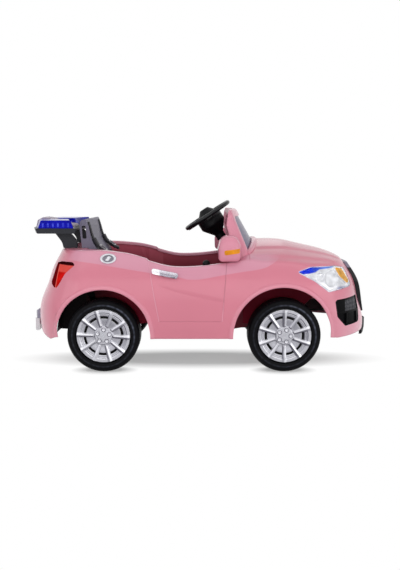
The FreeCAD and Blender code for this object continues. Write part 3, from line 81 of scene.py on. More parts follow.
OPENING = [(-330, 0), (-330, 172, 70), (-150, 226, 160), (COWL_X, 226, 70), (COWL_X, 0)]

# Wheels and arches: an arch is its centre along the car and its radius
AXLE_Z = 102.0
REAR_X, FRONT_X = -270.0, 236.0
REAR_ARCH = (-270.0, 132.0)
FRONT_ARCH = (230.0, 138.0)
ARCHES = REAR_ARCH, FRONT_ARCH
REAR_ENDS, FRONT_ENDS = (-402.0, -138.0), (92.0, 368.0)
WELLS = (REAR_ARCH, 180.0, ((12, 107), (117, 177))), (FRONT_ARCH, 132.0, ((42, 172),))
WELL_HUB = 84.0
WHEEL_FACE = 262.0
WHEELS = (("front_left", FRONT_X, 1, 0.0), ("front_right", FRONT_X, -1, 0.0),
          ("rear_left", REAR_X, 1, 0.26), ("rear_right", REAR_X, -1, 0.26))
TYRE = [(77.3, -15), (77.3, -3, 2), (80, -0.6, 2), (84.5, -0.4, 2), (86, 1.4, 1), (88, 1.4, 1),
        (89.5, -1, 2), (97, -2.2, 4), (102, -9, 7), (102, -65, 12), (97, -77.5, 6), (94, -78, 1),
        (94, -20, 4), (23, -20, 4), (20, -76), (5.2, -76)]
TREAD_MID = -39.0
SPOKES, NUTS, NUT_RING = 10, 5, 17.5

# Outlines seen from the side, or from the front for the grille: corners with their radii
HEADLAMP = [(267, 281.5, 3), (309, 294.5, 40), (384, 293, 20), (419, 284.5, 8), (438.5, 233.5, 8),
            (360, 223.5, 7), (318, 255, 40)]
BROW_X, BROW_Z = (267, 304, 322, 336, 379, 384), (274, 275, 278, 285.5, 287, 297)
BOWLS = (372, 258, 22, 9), (338, 264, 12, 6)
TURN_STRIP = [(383, 288, 3), (409, 283, 6), (431, 247, 6), (422.5, 240.5, 5), (396, 264, 20)]
FOG_VENT = [(379.5, 200, 6), (460, 203, 6), (465, 165, 12), (462.5, 128, 6), (413.5, 123, 6),
            (387, 152, 8)]
TAIL_LAMP = [(-409, 301, 5), (-392, 306.5, 10), (-356, 307, 6), (-348, 299.5, 3), (-376, 276, 30),
             (-393, 247, 20), (-406, 230.5, 4), (-426, 244.5, 6), (-417, 271, 40)]
GRILLE = [(-62, 286, 14), (62, 286, 14), (98, 238, 12), (70, 150, 14), (-70, 150, 14),
          (-98, 238, 12)]
MIRROR = [(51, 309, 12), (49.6, 345, 34), (58, 381, 24), (101, 383, 26), (114, 352, 26),
          (113, 309, 14)]
MIRROR_PLATE = [(-249, 318, 6), (-221, 318, 6), (-221, 352, 12), (-249, 352, 12)]
POD_BACK = (309, 340, 345, 352), (51.0, 49.8, 49.7, 50.6)
STRIP = [(64, 343, 7), (112, 349, 3), (111.5, 332.5, 3), (66, 326, 7)]
POD_MID = np.array([83.0, 344.0])
POD_Y, POD_DEPTH, POD_POWER, POD_SIDE = 214.0, 54.5, 7, 0.42
FLAP_MID, FLAP_HALF = (-255.5, 317.5), (23.0, 13.6)

# Windscreen: values at its foot and at its top, and the pillars' depth by height
SCREEN_FOOT_Z, SCREEN_TOP_Z = 311.5, 452.0
SCREEN_EDGE = (140.0, 85.0)
SCREEN_HALF = (206.0, 168.0)
SCREEN_BOW = (50.0, 25.0)
SCREEN_PATH = [(-209, 300), (-168, 452, 44), (168, 452, 44), (209, 300)]
PANE_TOP_Z, PANE_HALF, RAIL_HALF = 441.0, 195.0, 198.0
PILLAR_Z = (296, 311, 340, 375, 407, 430, 446)
PILLAR_DEPTH = (64, 58, 40, 34, 30, 18, 12)

# Belts: paths seen from the side, half width and thickness, and the buckle's place and lean
BELT = [(-329, 416), (-323.5, 398), (-318.5, 378), (-310.5, 356), (-297, 337), (-281, 326),
        (-262, 318)]
BELT_PAD = [(-314, 367), (-306, 351), (-294, 338), (-280, 329.5), (-264, 322)]
BELT_Y = (-106.0, 106.0)
BELT_SIZE, PAD_SIZE = (13.0, 2.6), (16.5, 9.0)
BUCKLE = [(-11, -17, 5), (11, -17, 5), (11, 17, 5), (-11, 17, 5)]
BUCKLE_X, BUCKLE_Z, BUCKLE_LEAN = -287.0, 337.0, math.radians(38)

# Paint: display colours from 0 to 255, places in metres
# Painted light: the windscreen frame and mirror pods are the shell's pink plastic, given a paler
# copy of its colour
PAINTED_LIFT = (3, 12, 14)
NOISE = (0.3, 0.7)
GROOVE = 0.0017
DOOR_REAR_X, DOOR_FRONT_X, DOOR_FOOT_Z = -0.113, 0.061, 0.146
DOOR_LINES = (((-0.145, 0.318), (DOOR_REAR_X, DOOR_FOOT_Z)),
              ((0.074, 0.305), (DOOR_FRONT_X, DOOR_FOOT_Z)))
# Painted sheen: above this line, seen from the side, the flanks are painted paler as a reflection
# on the shoulder
SHEEN_X = (-0.360, -0.290, -0.217, -0.152, -0.058, -0.018, 0.014, 0.047, 0.115, 0.168, 0.200, 0.225)
SHEEN_Z = (0.312, 0.304, 0.292, 0.282, 0.268, 0.262, 0.265, 0.271, 0.282, 0.290, 0.303, 0.320)
NODE_PAINT = {"grille_surround": "surround", "lower_guard": "guard", "seat_back": "seat_grey",
              "light_bar_cover": "bar_grey", "door_handles": "handle",
              "steering_wheel": "wheel_black"}

# Plain materials: colour, roughness, options, then tints; a tint grows between two values of an
# axis or of a piece's mark, the second value being where it is full
PLASTICS = {
    # Painted shade: the tub's dark rose stands for the pink plastic in shade, deepening toward the
    # floor and paler toward the rim
    "tub_rose": ((127, 45, 59), 0.5, dict(vary=0.08, sheen=0.2),
                 ("z", 0.25, 0.335, (198, 92, 112))),
    # Painted shade: the wells' dark red stands for the pink plastic in shade, going black toward
    # the back of the rear well
    "well_dark": ((126, 25, 45), 0.5, dict(vary=0.2, sheen=0.06),
                  ("x", -0.2, -0.33, (14, 8, 10))),
    "surround": ((14, 14, 17), 0.35, dict(vary=0.2, sheen=0.25),
                 ("z", 0.2755, 0.2775, (128, 124, 140))),
    "vent_black": ((6, 6, 8), 0.4, dict(vary=0.2, sheen=0.04),
                   ("mesh", 0.0, 1.0, (128, 128, 134))),
    # Painted glint: paler arcs on the tyre's raised sidewall ring and its shoulder lugs
    "tyre_black": ((12, 12, 15), 0.5, dict(grain=700.0, vary=0.25, sheen=0.06),
                   ("glint", 0.0, 1.0, (86, 90, 104))),
    "flap": ((198, 197, 203), 0.32, dict(cloud=90.0, vary=0.12, metal=0.5),
             ("inner", 0.0, 1.0, (118, 116, 126))),
    "black_plastic": ((14, 14, 17), 0.4, dict(vary=0.2, sheen=0.12)),
    "grey_plastic": ((142, 138, 158), 0.36, dict(vary=0.05, coat=0.2)),
    "dark_grey": ((28, 30, 38), 0.36, dict(vary=0.15, sheen=0.25)),
    "smoked_pane": ((112, 108, 132), 0.2, dict(grain=200.0, vary=0.05, sheen=0.05)),
    "lamp_silver": ((226, 227, 232), 0.22, dict(vary=0.1, metal=0.85)),
    "chrome_trim": ((186, 182, 192), 0.2, dict(grain=300.0, cloud=60.0, vary=0.14, metal=0.8)),
    "hub_silver": ((206, 206, 212), 0.3, dict(vary=0.05, metal=0.55, coat=0.3)),
    "led_white": ((226, 232, 250), 0.2, dict(vary=0.05)),
    "steel": ((176, 176, 180), 0.3, dict(grain=600.0, vary=0.08, metal=1.0)),
    "mirror_plate": ((232, 232, 236), 0.04, dict(grain=100.0, vary=0.01, metal=1.0)),
    "nylon": ((222, 220, 210), 0.45, dict(vary=0.04)),
    "brass": ((196, 160, 88), 0.28, dict(vary=0.08, metal=1.0)),
    "belt_web": ((30, 30, 36), 0.75, dict(grain=2200.0, grain_depth=0.0003, vary=0.25)),
    "plate_white": ((222, 222, 226), 0.3, dict(vary=0.03, coat=0.3)),
    "seat_grey": ((116, 113, 131), 0.4, dict(vary=0.06, sheen=0.12)),
    "buckle": ((120, 118, 126), 0.3, dict(vary=0.1, sheen=0.3)),
    "wheel_black": ((16, 16, 20), 0.34, dict(vary=0.2, sheen=0.25, coat=0.05)),
    "bar_grey": ((172, 160, 174), 0.4, dict(vary=0.08, sheen=0.05)),
    "guard": ((16, 16, 19), 0.45, dict(vary=0.2, sheen=0.03)),
}
LENSES = {
    "clear_lens": ((252, 252, 254), 0.03, dict(see=1.0, coat=0.0, sheen=0.1, bend=1.06)),
    "amber_lens": ((238, 150, 26), 0.15, dict(flute=320.0, coat=0.05, sheen=0.15)),
    "red_lens": ((206, 40, 38), 0.1, dict(flute=240.0)),
    # Painted light on the tail lens: a pale highlight on the ridge, and the outer facet painted
    # dark as shade
    "tail_red": ((206, 22, 20), 0.2, dict(coat=0.0, sheen=0.0),
                 ("coral", 0.0, 1.0, (226, 82, 74)), ("outer", 0.0, 1.0, (112, 8, 14)),
                 ("ridge", 0.0, 1.0, (238, 110, 98)), ("brow", 0.0, 1.0, (48, 6, 10))),
}
MATERIALS = {}

# Stage: each lamp's place, aim, size and power
LAMPS = {
    "overhead": ((0.0, -0.85, 1.85), (0.0, 0.0, 0.25), (3.2, 0.62), 7.0),
    "front": ((-0.2, -3.4, 0.95), (0.0, 0.0, 0.2), (6.0, 2.6), 50.5),
    "top": ((0.0, 0.7, 2.6), (0.0, 0.0, 0.2), (3.0, 1.4), 2.5),
    "back": ((-0.4, 2.8, 1.6), (0.0, 0.0, 0.3), (2.4, 1.2), 4.0),
    "nose": ((2.4, -1.5, 0.6), (0.4, -0.1, 0.2), (1.6, 1.2), 13.0),
    "tail": ((-2.4, -1.5, 0.7), (-0.4, -0.1, 0.2), (1.6, 1.2), 8.5),
}
FLOOR_REACH, FLOOR_POINTS = 6.0, 25
FLOOR_DARK, FLOOR_PALE = (0.86, 0.86, 0.86, 1), (0.9, 0.9, 0.9, 1)
CAR_OVAL, WHEEL_OVAL = (0.5, -0.09, 0.12), (0.085, -0.235, 0.05)
WHEELS_MID, WHEELS_APART = -0.017, 0.253

# Corner of the body in plan, from the flank to the middle of an end, as a curve of four points
T = np.linspace(0.0, 1.0, 500)
CORNER_X = 3 * (1 - T) ** 2 * T * 0.75 + 3 * (1 - T) * T ** 2 + T ** 3
CORNER_Y = (1 - T) ** 3 + 3 * (1 - T) ** 2 * T + 3 * (1 - T) * T ** 2 * 0.6


def step(low, high, x):
    """Smooth rise from 0 at low to 1 at high."""
    t = np.clip((x - low) / (high - low), 0.0, 1.0)
    return t * t * (3 - 2 * t)


def fall(low, high, x):
    """Smooth fall from 1 at low to 0 at high."""
    return 1 - step(low, high, x)


def unit(v):
    """Each row drawn to length 1."""
    return v / np.linalg.norm(v, axis=1, keepdims=True)


def spline(xs, ys, x):
    """Natural cubic spline through (xs, ys), read at every x."""
    xs = np.asarray(xs, float)
    ys = np.asarray(ys, float)
    n = len(xs)
    h = np.diff(xs)
    a = np.eye(n)
    b = np.zeros(n)
    i = np.arange(1, n - 1)
    a[i, i - 1] = h[:-1]
    a[i, i] = 2 * (h[:-1] + h[1:])
    a[i, i + 1] = h[1:]
    b[i] = 6 * (np.diff(ys)[1:] / h[1:] - np.diff(ys)[:-1] / h[:-1])
    m = np.linalg.solve(a, b)
    x = np.clip(x, xs[0], xs[-1])
    k = np.clip(np.searchsorted(xs, x) - 1, 0, n - 2)
    t = x - xs[k]
    u = xs[k + 1] - x
    return ((m[k] * u ** 3 + m[k + 1] * t ** 3) / (6 * h[k])
            + (ys[k] / h[k] - m[k] * h[k] / 6) * u
            + (ys[k + 1] / h[k] - m[k + 1] * h[k] / 6) * t)


def half_width(x, z):
    """Half width at x and height z: the flank's, times the corner curve at nose or tail."""
    w, n, t = (spline(LEVEL_Z, level, z) for level in (LEVEL_HALF, LEVEL_NOSE, LEVEL_TAIL))
    f = np.where(x > NOSE_START, (x - NOSE_START) / (n - NOSE_START),
                 np.where(x < TAIL_START, (x - TAIL_START) / (t - TAIL_START), 0.0))
    return np.where(f > 1, (1 - f) * 400, w * np.interp(f, CORNER_X, CORNER_Y))


def nose_x(y, z):
    """Forward reach of the nose at half width y and height z."""
    w, n = (spline(LEVEL_Z, level, z) for level in (LEVEL_HALF, LEVEL_NOSE))
    return NOSE_START + (n - NOSE_START) * np.interp(-np.abs(y) / w, -CORNER_Y, CORNER_X)


def rim(x):
    """Height of the deck and cockpit rim along the car: level deck, fall, small step, door dip."""
    behind = np.where(x < RIM_FLAT_X, RIM_FLAT_Z, spline(*RIM_BEHIND, x))
    return behind + (spline(*RIM_AHEAD, x) - behind) * step(-149, -142, x)


def bonnet(x, y):
    """Crowned bonnet: centre line height less a circular drop, with two raised steps across it."""
    z = spline(BONNET_X, BONNET_Z, x)
    d = spline(BONNET_X, BONNET_DROP, x)
    r = (CROWN_Y ** 2 + d ** 2) / (2 * d)
    a = np.abs(y)
    fade = step(145, 175, x) * fall(395, 440, x)
    inner = 150 - 40 * step(180, 420, x)
    outer = 216 - 50 * step(200, 420, x)
    ridge = 3.4 * fall(inner - 4, inner + 4, a) + 3.6 * fall(outer - 4, outer + 4, a) - 3.3
    return z - (r - np.sqrt(r * r - a * a)) + ridge * fade


def top(x, y):
    """Upper surface: the rim behind the cowl, the bonnet ahead of it."""
    w = step(96, 140, x)
    return (1 - w) * rim(x) + w * bonnet(x, y)


def trim(x):
    """Lower edge of sills and bumpers."""
    return np.interp(x, TRIM_X, TRIM_Z)


def rounded(corners, fine=2.0, closed=True):
    """Points along a polygon (a, b, radius) whose corners are turned by arcs of their radius."""
    pts = [np.array(c[:2], float) for c in corners]
    rad = [c[2] if len(c) > 2 else 0.0 for c in corners]
    n = len(pts)
    runs = []
    for i, p in enumerate(pts):
        if rad[i] <= 0 or (not closed and i in (0, n - 1)):
            runs.append(p[None])
            continue
        b, a = unit(np.stack([pts[i - 1] - p, pts[(i + 1) % n] - p]))
        half = math.acos(np.clip(b @ a, -1, 1)) / 2
        c = p + (a + b) / np.linalg.norm(a + b) * rad[i] / math.sin(half)
        s = p + b * rad[i] / math.tan(half) - c
        e = p + a * rad[i] / math.tan(half) - c
        full = math.atan2(s[0] * e[1] - s[1] * e[0], s @ e)
        k = np.linspace(0, full, max(3, int(abs(full) * rad[i] / fine) + 2))
        runs.append(np.stack([c[0] + s[0] * np.cos(k) - s[1] * np.sin(k),
                              c[1] + s[0] * np.sin(k) + s[1] * np.cos(k)], 1))
    return np.concatenate(runs)


def along(line, count, closed=False):
    """count points at even spacing along a polyline."""
    p = np.concatenate([line, line[:1]]) if closed else line
    gaps = np.linalg.norm(np.diff(p, axis=0), axis=1)
    length = np.concatenate([[0], np.cumsum(gaps)])
    q = np.linspace(0, length[-1], count, endpoint=not closed)
    return np.stack([np.interp(q, length, p[:, k]) for k in range(p.shape[1])], 1)


def points(x, y, z):
    """Places from their coordinates, spread over each other where their shapes differ."""
    return np.stack(np.broadcast_arrays(x, y, z), -1)


def circle(count):
    """Angles of count points round a full turn."""
    return np.linspace(0, 2 * np.pi, count, endpoint=False)


def grid_faces(nu, nv, wrap_u=False, wrap_v=False):
    """Quads of a grid of nu by nv points stored row by row."""
    i = np.arange(nu if wrap_u else nu - 1)
    j = np.arange(nv if wrap_v else nv - 1)
    i, j = np.meshgrid(i, j, indexing="ij")
    i1, j1 = (i + 1) % nu, (j + 1) % nv
    corners = i * nv + j, i1 * nv + j, i1 * nv + j1, i * nv + j1
    return np.stack(corners, -1).reshape(-1, 4)


def stack(grids, wrap_u=False, wrap_v=False):
    """Several grids as one list of points and quads."""
    verts, faces, start = [], [], 0
    for grid in grids:
        nu, nv = grid.shape[:2]
        verts.append(grid.reshape(-1, 3))
        faces.append(grid_faces(nu, nv, wrap_u, wrap_v) + start)
        start += nu * nv
    return np.concatenate(verts), np.concatenate(faces)


def mirrored(verts, faces):
    """The surface and its image on the other side of the car, whose faces are turned round."""
    other = verts * np.array([1.0, -1.0, 1.0])
    return np.concatenate([verts, other]), np.concatenate([faces, faces[:, ::-1] + len(verts)])


def make(name, surface, slot, paint="", body="car", weld=0.0, marks=None, nodes=()):
    """One mesh piece from points and quads; it rides on a body and stands for the named nodes.

    Marks are values by point for the material; those of one half serve both halves."""
    verts, faces = surface
    used, inverse = np.unique(faces, return_inverse=True)
    mesh = bpy.data.meshes.new(name)
    mesh.from_pydata((verts[used] * MM).tolist(), [], inverse.reshape(faces.shape).tolist())
    for key, values in (marks or {}).items():
        layer = mesh.attributes.new(key, "FLOAT", "POINT")
        values = np.resize(np.asarray(values, np.float32), len(verts))
        layer.data.foreach_set("value", values[used])
    if weld > 0:
        bm = bmesh.new()
        bm.from_mesh(mesh)
        bmesh.ops.remove_doubles(bm, verts=bm.verts, dist=weld * MM)
        bm.to_mesh(mesh)
        bm.free()
    mesh.polygons.foreach_set("use_smooth", np.ones(len(mesh.polygons), bool))
    mesh.materials.append(MATERIALS[paint or slot])
    mesh.update()
    piece = bpy.data.objects.new(name, mesh)
    bpy.context.scene.collection.objects.link(piece)
    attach(piece, body)
    if nodes:
        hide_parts(*nodes)
    return piece


def thicken(piece, thickness):
    """Gives a sheet an inner face."""
    solid = piece.modifiers.new("wall", "SOLIDIFY")
    solid.thickness = thickness
    solid.offset = -1


def colour(rgb):
    """Linear colour from display values 0 to 255."""
    c = np.array(rgb[:3], float) / 255
    c = np.where(c <= 0.04045, c / 12.92, ((c + 0.055) / 1.055) ** 2.4)
    return tuple(c.tolist()) + (1.0,)


def shade(c, factor):
    """Linear colour made darker or paler by a factor."""
    return tuple(min(1.0, v * factor) for v in c[:3]) + (1.0,)


class Nodes:
    """Adds nodes to one tree; each value is a number, a colour or another node's socket."""

    def __init__(self, tree):
        self.tree = tree

    def put(self, socket, value):
        if isinstance(value, bpy.types.NodeSocket):
            self.tree.links.new(value, socket)
        else:
            socket.default_value = value

    def node(self, kind, inputs=(), **settings):
        """Outputs of a new node, with its inputs by name or number and its settings."""
        node = self.tree.nodes.new("ShaderNode" + kind)
        for key, value in settings.items():
            setattr(node, key, value)
        for key, value in dict(inputs).items():
            self.put(node.inputs[key], value)
        return node.outputs

    def math(self, op, *values):
        """One operation; more than two values are taken from the left."""
        if len(values) > 2:
            values = self.math(op, *values[:-1]), values[-1]
        return self.node("Math", enumerate(values), operation=op)[0]

    times = partialmethod(math, "MULTIPLY")
    plus = partialmethod(math, "ADD")
    less = partialmethod(math, "SUBTRACT")
    most = partialmethod(math, "MAXIMUM")
    size = partialmethod(math, "ABSOLUTE")

    def radius(self, u, v):
        return self.math("SQRT", self.plus(self.times(u, u), self.times(v, v)))

    def between(self, value, low, high):
        return self.times(self.math("GREATER_THAN", value, low),
                          self.math("LESS_THAN", value, high))

    def ramp(self, *values):
        """Straight ramp of a value, from low to high, onto another low to high."""
        keys = "Value", "From Min", "From Max", "To Min", "To Max"
        return self.node("MapRange", zip(keys, values))[0]

    def rise(self, value, low, high):
        return self.ramp(value, low, high, 0.0, 1.0)

    def drop(self, value, low, high):
        return self.ramp(value, low, high, 1.0, 0.0)

    def seen(self):
        """1 for what the camera, a mirror or a clear piece looks at."""
        path = self.node("LightPath")
        return self.most(*(path[f"Is {kind} Ray"] for kind in ("Camera", "Glossy", "Transmission")))


class Shader(Nodes):
    """The node tree of one new material."""

    def __init__(self, name):
        self.mat = bpy.data.materials.new(name)
        self.mat.use_nodes = True
        super().__init__(self.mat.node_tree)
        self.bsdf = self.tree.nodes["Principled BSDF"]
        self.coord = self.node("TexCoord")["Object"]

    def set(self, **values):
        for key, value in values.items():
            self.put(self.bsdf.inputs[key.replace("_", " ")], value)

    def now(self, key):
        """What feeds an input of the shader at present."""
        return self.bsdf.inputs[key].links[0].from_socket

    def tint(self, factor, rgb, deep=1.0):
        """Lays a display colour over the base colour by a factor."""
        self.set(Base_Color=self.mix(factor, self.now("Base Color"), shade(colour(rgb), deep)))

    def xyz(self):
        return self.node("SeparateXYZ", {0: self.coord})

    def attribute(self, name):
        return self.node("Attribute", attribute_name=name)["Fac"]

    def noise(self, scale, detail=3.0):
        inputs = {"Vector": self.coord, "Scale": scale, "Detail": detail}
        return self.node("TexNoise", inputs)["Fac"]

    def mix(self, factor, a, b):
        return self.node("Mix", {0: factor, 6: a, 7: b}, data_type="RGBA")[2]

    def bump(self, height, strength, distance, **more):
        inputs = {"Height": height, "Strength": strength, "Distance": distance, **more}
        self.set(Normal=self.node("Bump", inputs)[0])

    def curve(self, value, xs, ys):
        """Smooth curve through points; value and result in the points' own units."""
        node = self.tree.nodes.new("ShaderNodeFloatCurve")
        low, high = min(ys), max(ys)
        knots = node.mapping.curves[0].points
        for i, (x, y) in enumerate(zip(xs, ys)):
            u, v = (x - xs[0]) / (xs[-1] - xs[0]), (y - low) / (high - low)
            if i < 2:
                knots[i].location = (u, v)
            else:
                knots.new(u, v)
        node.mapping.update()
        self.put(node.inputs["Value"], self.rise(value, xs[0], xs[-1]))
        return self.plus(self.times(node.outputs[0], high - low), low)


def plastic(name, rgb, rough=0.35, grain=900.0, grain_depth=0.00006, cloud=9.0, vary=0.06,
            coat=0.0, metal=0.0, sheen=0.5):
    """Moulded plastic: slow colour drift, fine grain in roughness and bump."""
    s = Shader(name)
    base = colour(rgb)
    tone = s.rise(s.noise(cloud, 2.0), *NOISE)
    fine = s.noise(grain, 2.0)
    s.set(Base_Color=s.mix(tone, shade(base, 1 - vary), shade(base, 1 + vary)),
          Roughness=s.ramp(fine, *NOISE, rough - 0.05, rough + 0.07),
          Metallic=metal, Coat_Weight=coat, Coat_Roughness=0.08, Specular_IOR_Level=sheen)
    s.bump(fine, 0.35, grain_depth)
    return s


def lens(name, rgb, rough=0.08, see=0.0, flute=0.0, coat=0.6, sheen=0.5, bend=1.49):
    """Clear tinted moulding with faint inner fluting and a glossy skin."""
    s = Shader(name)
    base = colour(rgb)
    tone = s.rise(s.noise(40.0, 2.0), *NOISE)
    s.set(Base_Color=s.mix(tone, shade(base, 0.72), shade(base, 1.2)),
          Roughness=s.ramp(s.noise(300.0), *NOISE, rough, rough + 0.08),
          Transmission_Weight=see, IOR=bend, Coat_Weight=coat, Coat_Roughness=0.03,
          Specular_IOR_Level=sheen)
    if flute:
        wave = s.node("TexWave", {"Scale": flute, "Vector": s.coord}, wave_type="BANDS",
                      bands_direction="X")
        s.bump(wave["Fac"], 0.4, 0.0004)
    return s


def gloss(name, rgb):
    """Glossy moulded shell: slow tone drift and a faint ripple of the moulding."""
    return plastic(name, rgb, rough=0.2, grain=500.0, grain_depth=0.00001, cloud=5.0, vary=0.02,
                   coat=0.12, sheen=0.28)


def line_mask(s, px, pz, a, b):
    """1 on a straight groove from a to b, seen from the side, fading over its half width."""
    slope = (b[0] - a[0]) / (b[1] - a[1])
    off = s.size(s.less(px, s.plus(s.times(pz, slope), a[0] - a[1] * slope)))
    return s.times(s.drop(off, GROOVE * 0.4, GROOVE), s.between(pz, *sorted((a[1], b[1]))))


def body_paint(name, rgb):
    """Glossy shell with painted light: a painted sheen over the sheen line, painted highlights at
    both ends and round the arches, the door's grooves as lines with painted highlight and shade,
    and a fold across the door."""
    s = gloss(name, rgb)
    px, py, pz = s.xyz()
    # Painted sheen: paler above the sheen line along the flanks, a painted reflection on the
    # shoulder
    over = s.less(pz, s.curve(px, SHEEN_X, SHEEN_Z))
    sheen_highlight = s.times(s.rise(over, -0.0015, 0.0015), s.drop(px, 0.19, 0.23), s.rise(px, -0.385, -0.35),
                  s.rise(s.size(py), 0.185, 0.215))
    s.tint(s.times(sheen_highlight, 0.75), (214, 153, 174))
    # Painted highlights on the nose's lower corner and at the tail's end
    nose = s.times(s.ramp(px, 0.35, 0.45, 0.0, 0.62), s.drop(pz, 0.17, 0.24))
    s.tint(s.most(nose, s.ramp(px, -0.45, -0.41, 0.3, 0.0)), (238, 184, 200))
    # Painted highlight in a band round each arch lip
    lip_highlights = []
    for x, radius in ARCHES:
        out = s.radius(s.less(px, x * MM), s.less(pz, AXLE_Z * MM))
        lip_highlights.append(s.drop(out, (radius + 8) * MM, (radius + 13) * MM))
    s.tint(s.times(s.most(*lip_highlights), 0.4), (232, 160, 178))
    rear, front = (line_mask(s, px, pz, a, b) for a, b in DOOR_LINES)
    flat = s.times(s.drop(s.size(s.less(pz, DOOR_FOOT_Z)), 0.0007, 0.0016),
                   s.between(px, DOOR_REAR_X, DOOR_FRONT_X))
    # Painted highlight along the rear groove and the lower front groove; painted shade in the upper
    # front groove and the foot groove
    upper = s.rise(pz, 0.17, 0.23)
    pale = s.most(rear, s.times(front, s.less(1.0, upper)))
    dark = s.most(s.times(front, upper), s.times(flat, 0.25))
    s.tint(s.times(pale, 0.5), (232, 166, 184))
    s.tint(s.times(dark, 0.3), rgb, 0.4)
    back = s.less(px, DOOR_REAR_X)
    bend = s.plus(s.times(back, -0.307), s.times(back, s.plus(px, 0.03), 0.653))
    below = s.less(s.less(pz, 0.247), bend)
    fold = s.times(s.rise(below, -0.003, 0.003), s.rise(px, -0.12, -0.09),
                   s.math("LESS_THAN", px, 0.066), s.drop(below, 0.0, 0.05))
    height = s.plus(s.less(1.0, s.most(rear, front, flat)), s.times(fold, 0.8))
    s.bump(height, 0.7, 0.0012, Normal=s.now("Normal"))
    return s


def handle_paint(name):
    """Chromed handle: a painted highlight on the block at its rear end, painted shade along the
    lower front wedge.
    """
    s = plastic(name, (198, 194, 204), 0.25, grain=300.0, cloud=60.0, vary=0.1, metal=0.45)
    px, _, pz = s.xyz()
    # Painted shade along the lower front wedge, painted highlight on the rear block
    lower = s.drop(s.plus(s.times(px, 0.19), pz), 0.2595, 0.2615)
    s.tint(s.times(lower, s.rise(px, -0.112, -0.108)), (150, 146, 158))
    s.tint(s.drop(px, -0.114, -0.11), (240, 238, 244))
    return s


def blue_paint(name):
    """Deep blue lens: upright pale streaks of the light points, evenly spaced by the length."""
    s = lens(name, (8, 12, 168), 0.1, coat=0.0, sheen=0.06)
    px, _, pz = s.xyz()
    turn = s.math("DIVIDE", s.plus(px, 0.421), 0.0145)
    near = s.size(s.less(turn, s.math("ROUND", turn)))
    tall = s.times(s.rise(pz, 0.4005, 0.403), s.drop(pz, 0.411, 0.414))
    s.tint(s.times(s.drop(near, 0.1, 0.22), tall, s.between(px, -0.455, -0.37),
                   s.ramp(s.noise(90.0), 0.4, 0.6, 0.35, 1.0)), (84, 98, 236))
    return s


def hubcap_paint(name):
    """Silver cap: sparkle grain, painted light and shade by the tilt of each facet, black in the
    slots.
    """
    s = plastic(name, (184, 184, 192), 0.27, grain=1600.0, grain_depth=0.00003, cloud=14.0,
                vary=0.05, coat=0.2)
    # Painted shade where the facet tone is low, painted highlight where it is high
    tone = s.attribute("tone")
    s.tint(s.drop(tone, 0.0, 0.5), (92, 90, 102))
    s.tint(s.rise(tone, 0.5, 1.0), (238, 238, 244))
    dark = s.rise(s.attribute("slot"), 0.35, 0.65)
    s.tint(dark, (6, 6, 8))
    bright = s.ramp(dark, 0.0, 1.0, 0.5, 0.0)
    s.set(Metallic=bright, Specular_IOR_Level=bright)
    return s


def tray_paint(name):
    """Metallised tray: silver, blue under the brow, violet along the foot, amber at the insert."""
    s = plastic(name, (240, 241, 245), 0.2, grain=260.0, grain_depth=0.0001, cloud=60.0, vary=0.1,
                sheen=0.2)
    blue, amber = s.attribute("blue"), s.attribute("amber")
    sky = s.mix(s.attribute("pale"), colour((10, 48, 224)), colour((120, 160, 240)))
    s.set(Base_Color=s.mix(blue, s.now("Base Color"), sky))
    s.tint(s.times(s.attribute("low"), 0.75), (84, 88, 160))
    s.tint(s.attribute("edge"), (226, 222, 234))
    s.tint(amber, (222, 158, 40))
    s.set(Metallic=s.ramp(s.most(amber, blue), 0.0, 1.0, 0.35, 0.0))
    return s


PAINTS = {"blue_lens": blue_paint, "hubcap": hubcap_paint, "handle": handle_paint,
          "lamp_tray": tray_paint}


def build_materials(look):
    """Every material once, by the record's slot name or the name of a paint."""
    pink = tuple(look.body_colour)
    MATERIALS["body_pink"] = body_paint("body_pink", pink).mat
    # Painted lighter: the frame and pods get a paler copy of the shell's pink
    MATERIALS["frame_pink"] = gloss("frame_pink", tuple(np.add(pink, PAINTED_LIFT))).mat
    for kind, table in ((plastic, PLASTICS), (lens, LENSES)):
        for name, (rgb, rough, more, *tints) in table.items():
            s = kind(name, rgb, rough, **more)
            for source, low, high, tint in tints:
                value = s.xyz()["xyz".index(source)] if source in "xyz" else s.attribute(source)
                s.tint(s.rise(value, low, high) if low < high else s.drop(value, high, low), tint)
            MATERIALS[name] = s.mat
    for name, paint in PAINTS.items():
        MATERIALS[name] = paint(name).mat


def halve(low, high, turns, past):
    """The value between low and high from which past holds, by repeated halving."""
    for _ in range(turns):
        mid = (low + high) / 2
        hit = past(mid)
        high = np.where(hit, mid, high)
        low = np.where(hit, low, mid)
    return (low + high) / 2


def ray(o, d, s):
    """Places in plan at the distances s from o along d."""
    return o[:, 0:1] + d[:, 0:1] * s, o[:, 1:2] + d[:, 1:2] * s


def reach(o, d, z):
    """Distance from o along d at which the flank at height z is met."""
    def outside(s):
        x, y = ray(o, d, s)
        return y > half_width(x, z)

    return halve(np.zeros_like(z), np.full_like(z, 460.0), 40, outside)


def resample(line, count, start, end):
    """count points on each row's polyline between two lengths along it."""
    gap = np.linalg.norm(np.diff(line, axis=1), axis=2)
    length = np.concatenate([np.zeros((len(line), 1)), np.cumsum(gap, 1)], 1)
    q = start[:, None] + (end - start)[:, None] * np.linspace(0, 1, count)[None]
    k = np.clip((length[:, None, :] <= q[:, :, None]).sum(-1) - 1, 0, line.shape[1] - 2)
    l0 = np.take_along_axis(length, k, 1)
    l1 = np.take_along_axis(length, k + 1, 1)
    t = np.clip((q - l0) / np.maximum(l1 - l0, 1e-9), 0, 1)[..., None]
    k3 = np.repeat(k[..., None], 3, 2)
    return np.take_along_axis(line, k3, 1) * (1 - t) + np.take_along_axis(line, k3 + 1, 1) * t


